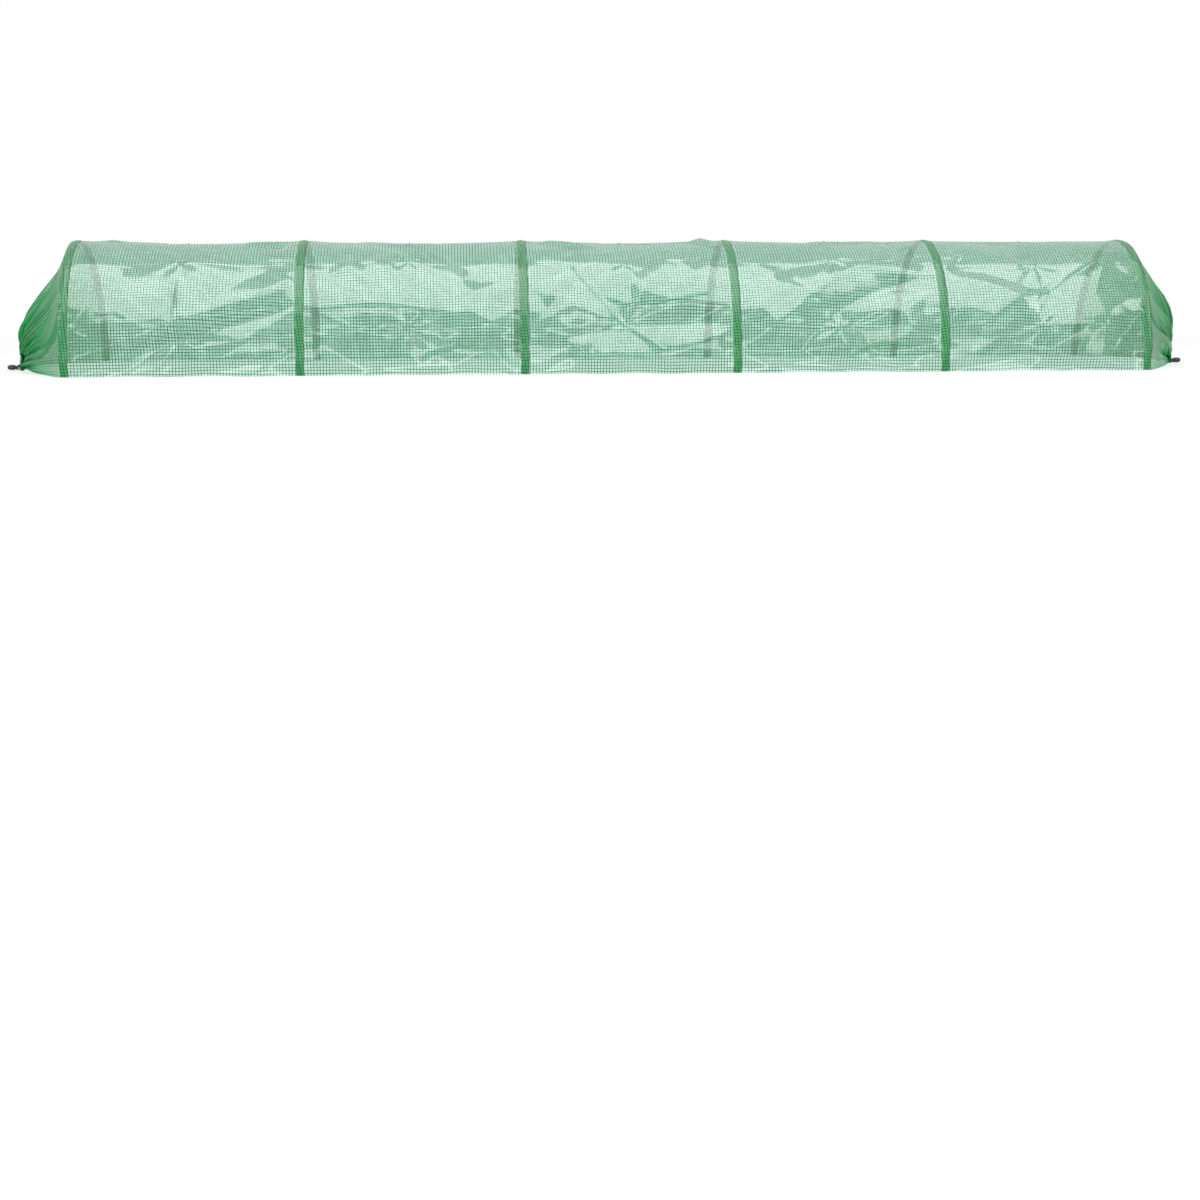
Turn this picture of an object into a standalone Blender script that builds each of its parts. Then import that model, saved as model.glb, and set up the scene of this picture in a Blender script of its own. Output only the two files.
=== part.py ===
"""Row cover tunnel: six wire hoops under one long cover of clear green net film.

The tunnel lies along X with its crown up, the ground is z = 0 and x = 0 is the middle. Lengths are metres.
The cover is one sewn sheet. Here it is five bays between the hoops and a skirt at each end, so that the hoops
can slide together as the tunnel is folded up. Each skirt is gathered by a drawcord with a spring cord lock.
"""

import math

import bmesh
import bpy
from mathutils import Vector

# Hoops: round wire bent to half an ellipse on two short upright legs
HOOP_WIDTH = 0.576
HOOP_HEIGHT = 0.358
LEG_LENGTH = 0.014
WIRE_DIAMETER = 0.004
MEAN_BAY_LENGTH = 0.600
BAY_LENGTH_SHARES = (1.047, 1.020, 0.981, 0.980, 0.972)
ARCH_STEPS = 16

# Film: the cover, and the sleeves that hold the wire
FILM_THICKNESS = 0.0005
SEAM_GAP = 0.0003
GROUND_GAP = 0.0005
SLEEVE_WIDTH = 0.024
SLEEVE_CROWN_WIDTH = 0.006
SLEEVE_END_GAP = 0.001
RIDGE_SAG = 0.015
SIDE_SAG = 0.009
CREASE_HEIGHT = 0.005
CREASE_REACH_SHARE = 0.1
DIAGONAL_FOLD_HEIGHT = 0.006
DIAGONAL_FOLDS = 3
BAY_CELLS = 8

# End skirts and their gathered mouths
MOUTH_REACH = 0.165
MOUTH_WIDTH = 0.081
MOUTH_HEIGHT = 0.075
TOE_REACH = 0.010
CASING_DEPTH = 0.022
CASING_BULK = 0.011
CASING_SIDES = 8
RUFFLE_SHARE = 0.11
TOE_TAPER_SHARE = 0.85
CASING_BORE = 0.0046
CASING_GAP = 0.0006
PLEATS = 13
PLEAT_HEIGHT = 0.011
SKIRT_CELLS = 5
SKIRT_CELLS_A_HOOP_CELL = 3
SKIRT_HEM_BULGE = 0.012
# Each point of the mouth from its crown to its toe: outward, sideways and up
MOUTH_SHARES = (
    (0.0, 0.0, 1.0),
    (0.0, 0.42, 0.95),
    (0.0, 0.77, 0.81),
    (0.0, 0.96, 0.60),
    (0.0, 1.0, 0.37),
    (0.06, 0.965, 0.22),
    (0.22, 0.925, 0.135),
    (0.50, 0.902, 0.102),
    (0.75, 0.90, 0.10),
    (1.0, 0.90, 0.10),
)

# Drawcord
CORD_DIAMETER = 0.0025
CORD_PITCH_DIAMETERS = 2.4
KNOT_LENGTH = 0.018
KNOT_RADIUS = 0.0046
KNOT_LOBES = 3
KNOT_LOBE_SHARE = 0.12
KNOT_TWIST = 2.6
KNOT_RADIUS_SHARES = (0.66, 0.86, 1.0, 0.92, 0.98, 1.0, 0.84, 0.64)
KNOT_SIDES = 12

# Cord lock: an oval barrel that lies with its button towards the mouth
LOCK_WIDTH = 0.018
LOCK_LENGTH = 0.0215
LOCK_FLATNESS_SHARE = 0.8
LOCK_REACH = 0.0385
LOCK_SIDE = -0.008
LOCK_GROUND_GAP = 0.0002
LOCK_FLOOR_THICKNESS = 0.002
LOCK_BORE_SIZE = 0.006
LOCK_BORE_CORNER = 0.0014
LOCK_BORE_FROM_RIM = 0.008
LOCK_STEPS = 16
# The barrel's outer side from its closed end to its rim: along its length, and out to its half width
BARREL_OUTLINE_SHARES = (
    (1.0, 0.0),
    (1.0, 0.30),
    (0.96, 0.56),
    (0.87, 0.78),
    (0.72, 0.93),
    (0.52, 1.0),
    (0.30, 0.99),
    (0.10, 0.93),
    (0.0, 0.86),
)
BUTTON_WIDTH = 0.0119
BUTTON_CLEARANCE = 0.0003
BUTTON_TRAVEL = 0.003
BUTTON_PROUD = 0.0065
BUTTON_WEB = 0.0021
# The button's domed top below its rim plane: along its proud length, and out to its half width
BUTTON_TIP_SHARES = ((-0.6, 1.0), (-0.86, 0.86), (-1.0, 0.5), (-1.0, 0.0))
SPRING_DIAMETER = 0.0066
SPRING_WIRE = 0.0006
SPRING_CURLS = 3.5
SPRING_POINTS_A_CURL = 9

# Overrun of a cutter past the face that it opens, and the distance within which points are one
CUTTER_OVERRUN = 0.004
WELD = 0.000001

# Cord routes on one end, in metres from the middle of the mouth: outward, sideways and up
NEAR_STRAND_ROUTE = (
    (0.0103, -0.0364, 0.0075),
    (0.0135, -0.0364, 0.0075),
    (0.0175, -0.0366, 0.0070),
    (0.0220, -0.0371, 0.0062),
    (0.0265, -0.0376, 0.0058),
    (0.0310, -0.0372, 0.0061),
    (0.0348, -0.0353, 0.0069),
    (0.0376, -0.0320, 0.0078),
    (0.0393, -0.0276, 0.0084),
    (0.0399, -0.0225, 0.0086),
    (0.0399, -0.0170, 0.0086),
    (0.0399, -0.0050, 0.0081),
    (0.0399, 0.0150, 0.0074),
    (0.0399, 0.0350, 0.0066),
    (0.0399, 0.0500, 0.0060),
    (0.0399, 0.0617, 0.0056),
)
FAR_STRAND_ROUTE = (
    (0.0103, 0.0364, 0.0075),
    (0.0135, 0.0364, 0.0075),
    (0.0165, 0.0357, 0.0069),
    (0.0188, 0.0336, 0.0057),
    (0.0201, 0.0303, 0.0041),
    (0.0205, 0.0260, 0.0027),
    (0.0205, 0.0210, 0.0018),
    (0.0204, 0.0140, 0.0014),
    (0.0202, 0.0070, 0.0014),
    (0.0202, 0.0000, 0.0014),
    (0.0203, -0.0080, 0.0015),
    (0.0208, -0.0150, 0.0019),
    (0.0221, -0.0210, 0.0029),
    (0.0247, -0.0258, 0.0044),
    (0.0285, -0.0283, 0.0061),
    (0.0325, -0.0278, 0.0075),
    (0.0354, -0.0248, 0.0083),
    (0.0368, -0.0208, 0.0086),
    (0.0371, -0.0170, 0.0086),
    (0.0371, -0.0050, 0.0081),
    (0.0371, 0.0150, 0.0074),
    (0.0371, 0.0350, 0.0066),
    (0.0371, 0.0500, 0.0060),
    (0.0371, 0.0617, 0.0056),
)
LONG_TAIL_ROUTE = (
    (0.0371, 0.0803, 0.0056),
    (0.0371, 0.0840, 0.0053),
    (0.0370, 0.0885, 0.0042),
    (0.0366, 0.0935, 0.0026),
    (0.0359, 0.0990, 0.0016),
    (0.0350, 0.1050, 0.0014),
    (0.0341, 0.1110, 0.0014),
    (0.0333, 0.1170, 0.0014),
    (0.0328, 0.1230, 0.0014),
    (0.0326, 0.1290, 0.0014),
)
SHORT_TAIL_ROUTE = (
    (0.0399, 0.0803, 0.0056),
    (0.0400, 0.0830, 0.0052),
    (0.0407, 0.0863, 0.0042),
    (0.0425, 0.0893, 0.0029),
    (0.0455, 0.0917, 0.0019),
    (0.0495, 0.0933, 0.0015),
    (0.0540, 0.0944, 0.0014),
    (0.0585, 0.0953, 0.0014),
)
KNOT_CENTRE = (0.0385, 0.0710, 0.0056)

# Sizes that follow from the ones above
HALF_LENGTH = MEAN_BAY_LENGTH * sum(BAY_LENGTH_SHARES) / 2
HOOP_CELLS = ARCH_STEPS + 2
LOCK_HEIGHT = LOCK_WIDTH * LOCK_FLATNESS_SHARE
STRAND_HALF_SPREAD = CORD_DIAMETER + SEAM_GAP / 2
SHEET_START = SLEEVE_WIDTH / 2 + FILM_THICKNESS / 2 + SEAM_GAP


def clear_scene():
    for old in list(bpy.data.objects):
        bpy.data.objects.remove(old)


def make_collection(name):
    made = bpy.data.collections.new(name)
    bpy.context.scene.collection.children.link(made)
    return made


def material(name, colour, roughness, metallic=0.0, alpha=1.0):
    made = bpy.data.materials.new(name)
    made.use_nodes = True
    shader = made.node_tree.nodes["Principled BSDF"]
    shader.inputs["Base Color"].default_value = (*colour, 1)
    shader.inputs["Roughness"].default_value = roughness
    shader.inputs["Metallic"].default_value = metallic
    shader.inputs["Alpha"].default_value = alpha
    made.diffuse_color = (*colour, 1)
    return made


def add_object(name, data, collection, parent=None):
    made = bpy.data.objects.new(name, data)
    collection.objects.link(made)
    made.parent = parent
    return made


def add_empty(name, location, parent=None):
    place = add_object(name, None, parts, parent)
    place.location = location
    return place


def as_cutter(obj):
    obj.hide_render = True
    obj.display_type = "WIRE"
    return obj


def smooth_shade(mesh):
    mesh.shade_smooth()
    mesh.set_sharp_from_angle(angle=math.radians(40))


def finished_mesh(name, obj, finish):
    """The mesh of an object with its modifiers applied, for pieces that are used on both ends."""
    bpy.context.view_layer.update()
    graph = bpy.context.evaluated_depsgraph_get()
    mesh = bpy.data.meshes.new_from_object(obj.evaluated_get(graph))
    mesh.name = name
    work = bmesh.new()
    work.from_mesh(mesh)
    bmesh.ops.remove_doubles(work, verts=work.verts, dist=WELD)
    work.to_mesh(mesh)
    work.free()
    mesh.materials.clear()
    mesh.materials.append(finish)
    smooth_shade(mesh)
    bpy.data.objects.remove(obj)
    return mesh


def film_mesh(name, place, cells, finish, closed_round=False):
    """A flat grid laid on a surface: place(u, v) gives the point for two shares from 0 to 1."""
    work = bmesh.new()
    bmesh.ops.create_grid(work, x_segments=cells[0], y_segments=cells[1], size=1)
    for vertex in work.verts:
        vertex.co = place((vertex.co.x + 1) / 2, (vertex.co.y + 1) / 2)
    if closed_round:
        bmesh.ops.remove_doubles(work, verts=work.verts, dist=WELD)
    bmesh.ops.recalc_face_normals(work, faces=work.faces)
    mesh = bpy.data.meshes.new(name)
    work.to_mesh(mesh)
    work.free()
    mesh.materials.append(finish)
    smooth_shade(mesh)
    return mesh


def add_film(name, mesh, parent):
    """A sheet of film as thick as its middle surface says, half to each side."""
    sheet = add_object(name, mesh, parts, parent)
    thick = sheet.modifiers.new("Film thickness", "SOLIDIFY")
    thick.thickness = FILM_THICKNESS
    thick.offset = 0
    return sheet


def loft_mesh(name, rings, finish, first_is_cap=True):
    """Skin over rings that each have the same number of points. Without its cap the first end stays open."""
    work = bmesh.new()
    rows = [[work.verts.new(point) for point in ring] for ring in rings]
    for row, following in zip(rows, rows[1:]):
        for index in range(len(row)):
            after = (index + 1) % len(row)
            work.faces.new((row[index], row[after], following[after], following[index]))
    if first_is_cap:
        work.faces.new(list(reversed(rows[0])))
    work.faces.new(rows[-1])
    bmesh.ops.recalc_face_normals(work, faces=work.faces)
    mesh = bpy.data.meshes.new(name)
    work.to_mesh(mesh)
    work.free()
    mesh.materials.append(finish)
    smooth_shade(mesh)
    return mesh


def hoop_line(lift=0.0):
    """The wire's middle line from near foot to far foot, a lift above the ground, and its outward normals."""
    half_width = HOOP_WIDTH / 2
    arch_height = HOOP_HEIGHT - LEG_LENGTH
    points = [Vector((0, -half_width, lift))]
    normals = [Vector((0, -1, 0))]
    for step in range(ARCH_STEPS + 1):
        angle = math.pi * step / ARCH_STEPS
        across = -math.cos(angle)
        up = math.sin(angle)
        points.append(Vector((0, across * half_width, LEG_LENGTH + up * arch_height)))
        normals.append(Vector((0, across / half_width, up / arch_height)).normalized())
    points.append(Vector((0, half_width, lift)))
    normals.append(Vector((0, 1, 0)))
    return points, normals


def smooth_route(points, pitch):
    """Evenly spaced points on a smooth curve through the given ones."""
    knots = [Vector(point) for point in points]
    first = knots[0] * 2 - knots[1]
    last = knots[-1] * 2 - knots[-2]
    framed = [first, *knots, last]
    fine = [knots[0]]
    steps = 8
    for before, start, end, after in zip(framed, framed[1:], framed[2:], framed[3:]):
        for step in range(1, steps + 1):
            t = step / steps
            fine.append(
                (
                    start * 2
                    + (end - before) * t
                    + (before * 2 - start * 5 + end * 4 - after) * t**2
                    + (start * 3 - before - end * 3 + after) * t**3
                )
                / 2
            )
    runs = [0.0]
    for start, end in zip(fine, fine[1:]):
        runs.append(runs[-1] + (end - start).length)
    count = max(round(runs[-1] / pitch), 2)
    even = []
    place = 0
    for index in range(count + 1):
        target = runs[-1] * index / count
        while place < len(runs) - 2 and runs[place + 1] < target:
            place += 1
        share = (target - runs[place]) / (runs[place + 1] - runs[place])
        even.append(fine[place].lerp(fine[place + 1], min(share, 1)))
    return even


def tube_curve(name, points, diameter, resolution, finish):
    curve = bpy.data.curves.new(name, "CURVE")
    curve.dimensions = "3D"
    curve.bevel_depth = diameter / 2
    curve.bevel_resolution = resolution
    curve.use_fill_caps = True
    spline = curve.splines.new("POLY")
    spline.points.add(len(points) - 1)
    for target, point in zip(spline.points, points):
        target.co = (*point, 1)
    curve.materials.append(finish)
    return curve


def tangents_of(points):
    ends = [points[0], *points, points[-1]]
    return [(after - before).normalized() for before, after in zip(ends, ends[2:])]


def point_at(points, share):
    """The point at a share from 0 to 1 of the steps along a list of points."""
    place = share * (len(points) - 1)
    index = min(int(place), len(points) - 2)
    return points[index].lerp(points[index + 1], place - index)


def hoop_stations():
    """The x of each hoop, from the left end to the right end."""
    stations = [-HALF_LENGTH]
    for share in BAY_LENGTH_SHARES:
        stations.append(stations[-1] + MEAN_BAY_LENGTH * share)
    return stations


def sleeve_mesh(finish):
    """A flat pocket round the wire: two strips that meet at a seam on each side of it."""
    crown = WIRE_DIAMETER / 2 + SEAM_GAP + FILM_THICKNESS / 2
    outline = (
        (-SLEEVE_WIDTH / 2, 0.0),
        (-SLEEVE_CROWN_WIDTH / 2, -crown),
        (SLEEVE_CROWN_WIDTH / 2, -crown),
        (SLEEVE_WIDTH / 2, 0.0),
        (SLEEVE_CROWN_WIDTH / 2, crown),
        (-SLEEVE_CROWN_WIDTH / 2, crown),
    )

    points, normals = hoop_line(SLEEVE_END_GAP)

    def place(u, v):
        x, out = outline[round(u * len(outline)) % len(outline)]
        return Vector((x, 0, 0)) + point_at(points, v) + point_at(normals, v) * out

    return film_mesh("sleeve", place, (len(outline), HOOP_CELLS), finish, closed_round=True)


def add_hoops(places, wire_finish, film_finish):
    route, _ = hoop_line()
    wire = tube_curve("hoop_wire", route, WIRE_DIAMETER, 2, wire_finish)
    sleeve = sleeve_mesh(film_finish)
    for number, place in enumerate(places, 1):
        add_object(f"hoop_wire_{number}", wire, parts, place)
        add_film(f"hoop_sleeve_{number}", sleeve, place)


def bay_mesh(number, length, finish):
    """The film between two hoops: it sags to its middle, with a packing crease and slanting tension folds."""
    run = length - 2 * SHEET_START
    points, normals = hoop_line(GROUND_GAP)

    def crease(distance):
        return CREASE_HEIGHT * max(0.0, 1 - distance / CREASE_REACH_SHARE)

    def place(u, v):
        slack = 4 * u * (1 - u)
        crown = math.sin(math.pi * v)
        out = -RIDGE_SAG * slack * crown**4 - SIDE_SAG * slack * math.sin(2 * math.pi * v) ** 2
        out += crease(abs(u - 0.5)) * crown - crease(abs(abs(2 * v - 1) - 0.5) / 2) * slack
        slant = DIAGONAL_FOLDS * math.pi * (u + abs(2 * v - 1)) + number
        out += DIAGONAL_FOLD_HEIGHT * slack * crown * math.sin(slant)
        along = Vector((SHEET_START + run * u, 0, 0))
        return along + point_at(points, v) + point_at(normals, v) * out

    return film_mesh(f"cover_bay_{number}", place, (BAY_CELLS, HOOP_CELLS), finish)


def mouth_point(shares):
    outward, sideways, up = shares
    return Vector((outward * TOE_REACH, sideways * MOUTH_WIDTH / 2, up * MOUTH_HEIGHT))


def mouth_half():
    """The casing's middle line from its crown to its far toe."""
    return smooth_route([mouth_point(shares) for shares in MOUTH_SHARES], CASING_DEPTH / 3)


def casing_rings(points):
    """Oval rings along the half casing, deeper than thick, with a ruffle on every second one."""
    tangents = tangents_of(points)
    tangents[0] = Vector((0, 1, 0))
    tangents[-1] = Vector((1, 0, 0))
    outward = Vector((0, 0, 1))
    rings = []
    for index, (point, tangent) in enumerate(zip(points, tangents)):
        if index:
            outward = tangents[index - 1].rotation_difference(tangent) @ outward
        side = tangent.cross(outward)
        swell = 1 + RUFFLE_SHARE * (-1) ** index
        if index == len(points) - 1:
            swell = TOE_TAPER_SHARE
        rings.append(
            [
                point
                + outward * math.cos(turn) * swell * CASING_DEPTH / 2
                + side * math.sin(turn) * swell * CASING_BULK / 2
                for turn in ring_turns(CASING_SIDES)
            ]
        )
    return rings


def ring_turns(sides):
    return [2 * math.pi * side / sides for side in range(sides)]


def casing_mesh(half, finish):
    """The gathered hem: half of it lofted and mirrored, with a bore for the cord cut along it."""
    shape = loft_mesh("end_casing", casing_rings(half), finish, first_is_cap=False)
    casing = add_object("casing_half", shape, parts)
    mirror = casing.modifiers.new("Other half", "MIRROR")
    mirror.use_axis = (False, True, False)
    mirror.merge_threshold = WELD
    overrun = half[-1] + Vector((CUTTER_OVERRUN, 0, 0))
    bore_route = [*reversed([mirrored(point) for point in half[1:]]), *half]
    bore_route = [mirrored(overrun), *bore_route, overrun]
    bore = add_object("bore_route", tube_curve("bore", bore_route, CASING_BORE, 1, finish), cutters)
    bore_shape = finished_mesh("casing_bore", bore, finish)
    cutter = as_cutter(add_object("casing_bore_cutter", bore_shape, cutters))
    cut = casing.modifiers.new("Cord bore", "BOOLEAN")
    cut.object = cutter
    cut.operation = "DIFFERENCE"
    return finished_mesh("end_casing", casing, finish)


def mirrored(point):
    return Vector((point.x, -point.y, point.z))


def skirt_edge(whole):
    """The skirt's end round the outside of the casing, from the ground to the ground."""
    reach = (1 + RUFFLE_SHARE) * CASING_DEPTH / 2 + CASING_GAP
    toe_height = whole[0].z
    widen = 1 + reach / (MOUTH_WIDTH / 2)
    raise_by = (MOUTH_HEIGHT + reach - GROUND_GAP) / (MOUTH_HEIGHT - toe_height)
    return [
        Vector((MOUTH_REACH + point.x, point.y * widen, GROUND_GAP + (point.z - toe_height) * raise_by))
        for point in whole
    ]


def skirt_mesh(whole, finish):
    """The film from the end hoop to the mouth, in pleats that deepen towards the mouth."""
    edge = skirt_edge(whole)
    hoop, _ = hoop_line(GROUND_GAP)

    def place(u, v):
        start = point_at(hoop, u) + Vector((SHEET_START, 0, 0))
        point = start.lerp(point_at(edge, u), v)
        outward = Vector((0, point.y, point.z)).normalized()
        hem = abs(math.cos(math.pi * u)) ** 8 * math.sin(math.pi * v)
        point.x += SKIRT_HEM_BULGE * hem
        depth = PLEAT_HEIGHT * math.sin(math.pi * v**1.5) * min(1.0, point.z / PLEAT_HEIGHT)
        return point - outward * depth * math.cos(2 * math.pi * PLEATS * u)

    return film_mesh("end_skirt", place, (HOOP_CELLS * SKIRT_CELLS_A_HOOP_CELL, SKIRT_CELLS), finish)


def knot_mesh(finish):
    """A pulled knot: a short twisted rope of lobes between the two strands and the two tails."""
    rings = []
    last = len(KNOT_RADIUS_SHARES) - 1
    for index, share in enumerate(KNOT_RADIUS_SHARES):
        along = index / last
        ring = []
        for turn in ring_turns(KNOT_SIDES):
            lobe = 1 + KNOT_LOBE_SHARE * math.cos(KNOT_LOBES * turn + KNOT_TWIST * along)
            radius = KNOT_RADIUS * share * lobe
            offset = Vector((math.cos(turn) * radius, (along - 0.5) * KNOT_LENGTH, math.sin(turn) * radius))
            ring.append(Vector(KNOT_CENTRE) + offset)
        rings.append(ring)
    return loft_mesh("cord_knot", rings, finish)


def turned_mesh(name, profile, finish, cutter=None):
    """A profile of (along, radius) turned about the lock's own axis, flattened, and cut through if asked."""
    work = bmesh.new()
    row = [work.verts.new((radius, 0, along)) for along, radius in profile]
    for start, end in zip(row, row[1:]):
        work.edges.new((start, end))
    mesh = bpy.data.meshes.new(name)
    work.to_mesh(mesh)
    work.free()
    turned = add_object(name + "_turned", mesh, parts)
    turned.rotation_euler.y = math.pi / 2
    turned.location = lock_place()
    turned.scale.x = LOCK_FLATNESS_SHARE
    spin = turned.modifiers.new("Turn", "SCREW")
    spin.steps = LOCK_STEPS
    spin.render_steps = LOCK_STEPS
    spin.use_merge_vertices = True
    spin.merge_threshold = WELD
    spin.use_normal_calculate = True
    if cutter:
        cut = turned.modifiers.new("Cord hole", "BOOLEAN")
        cut.object = cutter
        cut.operation = "DIFFERENCE"
    bpy.context.view_layer.update()
    matrix = turned.matrix_world.copy()
    finished = finished_mesh(name, turned, finish)
    finished.transform(matrix)
    return finished


def lock_place():
    """The middle of the barrel's open rim, from the middle of the mouth."""
    return Vector((LOCK_REACH - LOCK_BORE_FROM_RIM, LOCK_SIDE, LOCK_GROUND_GAP + LOCK_HEIGHT / 2))


def slot_cutter(name, start, end):
    """A rounded box through the lock from side to side, between two distances from its rim."""
    work = bmesh.new()
    bmesh.ops.create_cube(work, size=1)
    long_edges = [edge for edge in work.edges if abs(edge.verts[0].co.y - edge.verts[1].co.y) > 0]
    size = Vector((end - start, LOCK_WIDTH + 2 * CUTTER_OVERRUN, LOCK_BORE_SIZE))
    for vertex in work.verts:
        vertex.co = vertex.co * size
    bmesh.ops.bevel(work, geom=long_edges, offset=LOCK_BORE_CORNER, segments=2, profile=0.5, affect="EDGES")
    mesh = bpy.data.meshes.new(name)
    work.to_mesh(mesh)
    work.free()
    cutter = as_cutter(add_object(name, mesh, cutters))
    cutter.location = lock_place() + Vector(((start + end) / 2, 0, 0))
    return cutter


def barrel_mesh(finish):
    """The barrel, open at its rim for the button and pierced from side to side for the two strands."""
    cavity = BUTTON_WIDTH / 2 + BUTTON_CLEARANCE
    floor = LOCK_LENGTH - LOCK_FLOOR_THICKNESS
    outline = [(LOCK_LENGTH * along, LOCK_WIDTH / 2 * out) for along, out in BARREL_OUTLINE_SHARES]
    profile = [*outline, (0.0, cavity), (floor, cavity), (floor, 0.0)]
    reach = LOCK_BORE_SIZE / 2
    bore = slot_cutter("barrel_bore_cutter", LOCK_BORE_FROM_RIM - reach, LOCK_BORE_FROM_RIM + reach)
    return turned_mesh("lock_barrel", profile, finish, bore)


def button_mesh(finish):
    """The button and its stem, with a slot that lets go of the strands when the button is pushed in."""
    start, end = slot_range()
    stem = end + BUTTON_WEB
    radius = BUTTON_WIDTH / 2
    tip = [(BUTTON_PROUD * along, radius * out) for along, out in BUTTON_TIP_SHARES]
    profile = [(stem, 0.0), (stem, radius), *tip]
    slot = slot_cutter("button_slot_cutter", start, end)
    return turned_mesh("lock_button", profile, finish, slot)


def slot_range():
    """Where the button's slot starts and ends from the rim: the strands fill it only when the button is up."""
    middle = LOCK_BORE_FROM_RIM
    reach = STRAND_HALF_SPREAD + SEAM_GAP
    return middle - reach - BUTTON_TRAVEL, middle + reach


def spring_points():
    """A coil between the button's stem and the barrel's floor, clear of both by the seam gap."""
    radius = (SPRING_DIAMETER - SPRING_WIRE) / 2
    count = round(SPRING_CURLS * SPRING_POINTS_A_CURL)
    start = slot_range()[1] + BUTTON_WEB + SEAM_GAP + SPRING_WIRE / 2
    end = LOCK_LENGTH - LOCK_FLOOR_THICKNESS - SEAM_GAP - SPRING_WIRE / 2
    rise = end - start
    centre = lock_place() + Vector((start, 0, 0))
    points = []
    for index in range(count + 1):
        turn = 2 * math.pi * index / SPRING_POINTS_A_CURL
        points.append(centre + Vector((rise * index / count, radius * math.cos(turn), radius * math.sin(turn))))
    least = min(
        (one - two).length
        for index, one in enumerate(points)
        for two in points[index + SPRING_POINTS_A_CURL // 2 :]
    )
    print(f"spring: least gap between curls {(least - SPRING_WIRE) * 1000:.2f} mm")
    return points


def add_end(side, place, skirt, mouth_shapes):
    """One end's skirt, and on its mouth the casing, the drawcord and the cord lock."""
    add_film(f"end_skirt_{side}", skirt, place)
    mouth = add_empty(f"mouth_place_{side}", (MOUTH_REACH, 0, 0), place)
    for name, shape in mouth_shapes.items():
        add_object(f"{name}_{side}", shape, parts, mouth)


def main():
    film = material("Clear green net film", (0.42, 0.78, 0.58), 0.25, alpha=0.6)
    gathered = material("Gathered green net film", (0.16, 0.55, 0.33), 0.3)
    wire = material("Galvanised wire", (0.55, 0.57, 0.58), 0.4, metallic=0.9)
    braid = material("Black braided cord", (0.012, 0.012, 0.013), 0.8)
    plastic = material("Black moulded plastic", (0.02, 0.02, 0.022), 0.45)
    spring = material("Spring steel", (0.5, 0.5, 0.52), 0.3, metallic=1.0)

    stations = hoop_stations()
    places = [add_empty(f"hoop_place_{number}", (x, 0, 0)) for number, x in enumerate(stations, 1)]
    add_hoops(places, wire, film)
    for number, (start, end) in enumerate(zip(stations, stations[1:]), 1):
        add_film(f"cover_bay_{number}", bay_mesh(number, end - start, film), places[number - 1])

    half = mouth_half()
    whole = [*reversed([mirrored(point) for point in half[1:]]), *half]
    pitch = CORD_PITCH_DIAMETERS * CORD_DIAMETER
    cord_routes = {
        "casing_cord": whole,
        "near_strand": smooth_route(NEAR_STRAND_ROUTE, pitch),
        "far_strand": smooth_route(FAR_STRAND_ROUTE, pitch),
        "long_tail": smooth_route(LONG_TAIL_ROUTE, pitch),
        "short_tail": smooth_route(SHORT_TAIL_ROUTE, pitch),
    }
    mouth_shapes = {"end_casing": casing_mesh(half, gathered)}
    for name, route in cord_routes.items():
        mouth_shapes[name] = tube_curve(name, route, CORD_DIAMETER, 2, braid)
    mouth_shapes["cord_knot"] = knot_mesh(braid)
    mouth_shapes["lock_barrel"] = barrel_mesh(plastic)
    mouth_shapes["lock_button"] = button_mesh(plastic)
    mouth_shapes["lock_spring"] = tube_curve("lock_spring", spring_points(), SPRING_WIRE, 1, spring)

    skirt = skirt_mesh(whole, film)
    left = add_empty("end_place_left", (stations[0], 0, 0))
    left.scale.x = -1
    right = add_empty("end_place_right", (stations[-1], 0, 0))
    add_end("left", left, skirt, mouth_shapes)
    add_end("right", right, skirt, mouth_shapes)


clear_scene()
parts = make_collection("row cover tunnel")
cutters = make_collection("cutters")
main()
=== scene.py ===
# %% [markdown]
# # Row cover tunnel
# A long, low cloche: one sheet of clear green film with a welded net of threads, carried by six wire
# hoops and gathered at each end by a drawcord. The CAD model gives every piece its place. This lesson
# dresses it: each cell makes one piece or one finish, in metres, around the fixed frame of the packed
# part.

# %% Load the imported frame
import math

import bmesh
import bpy
import numpy as np
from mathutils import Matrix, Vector
from mathutils.geometry import delaunay_2d_cdt


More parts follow.
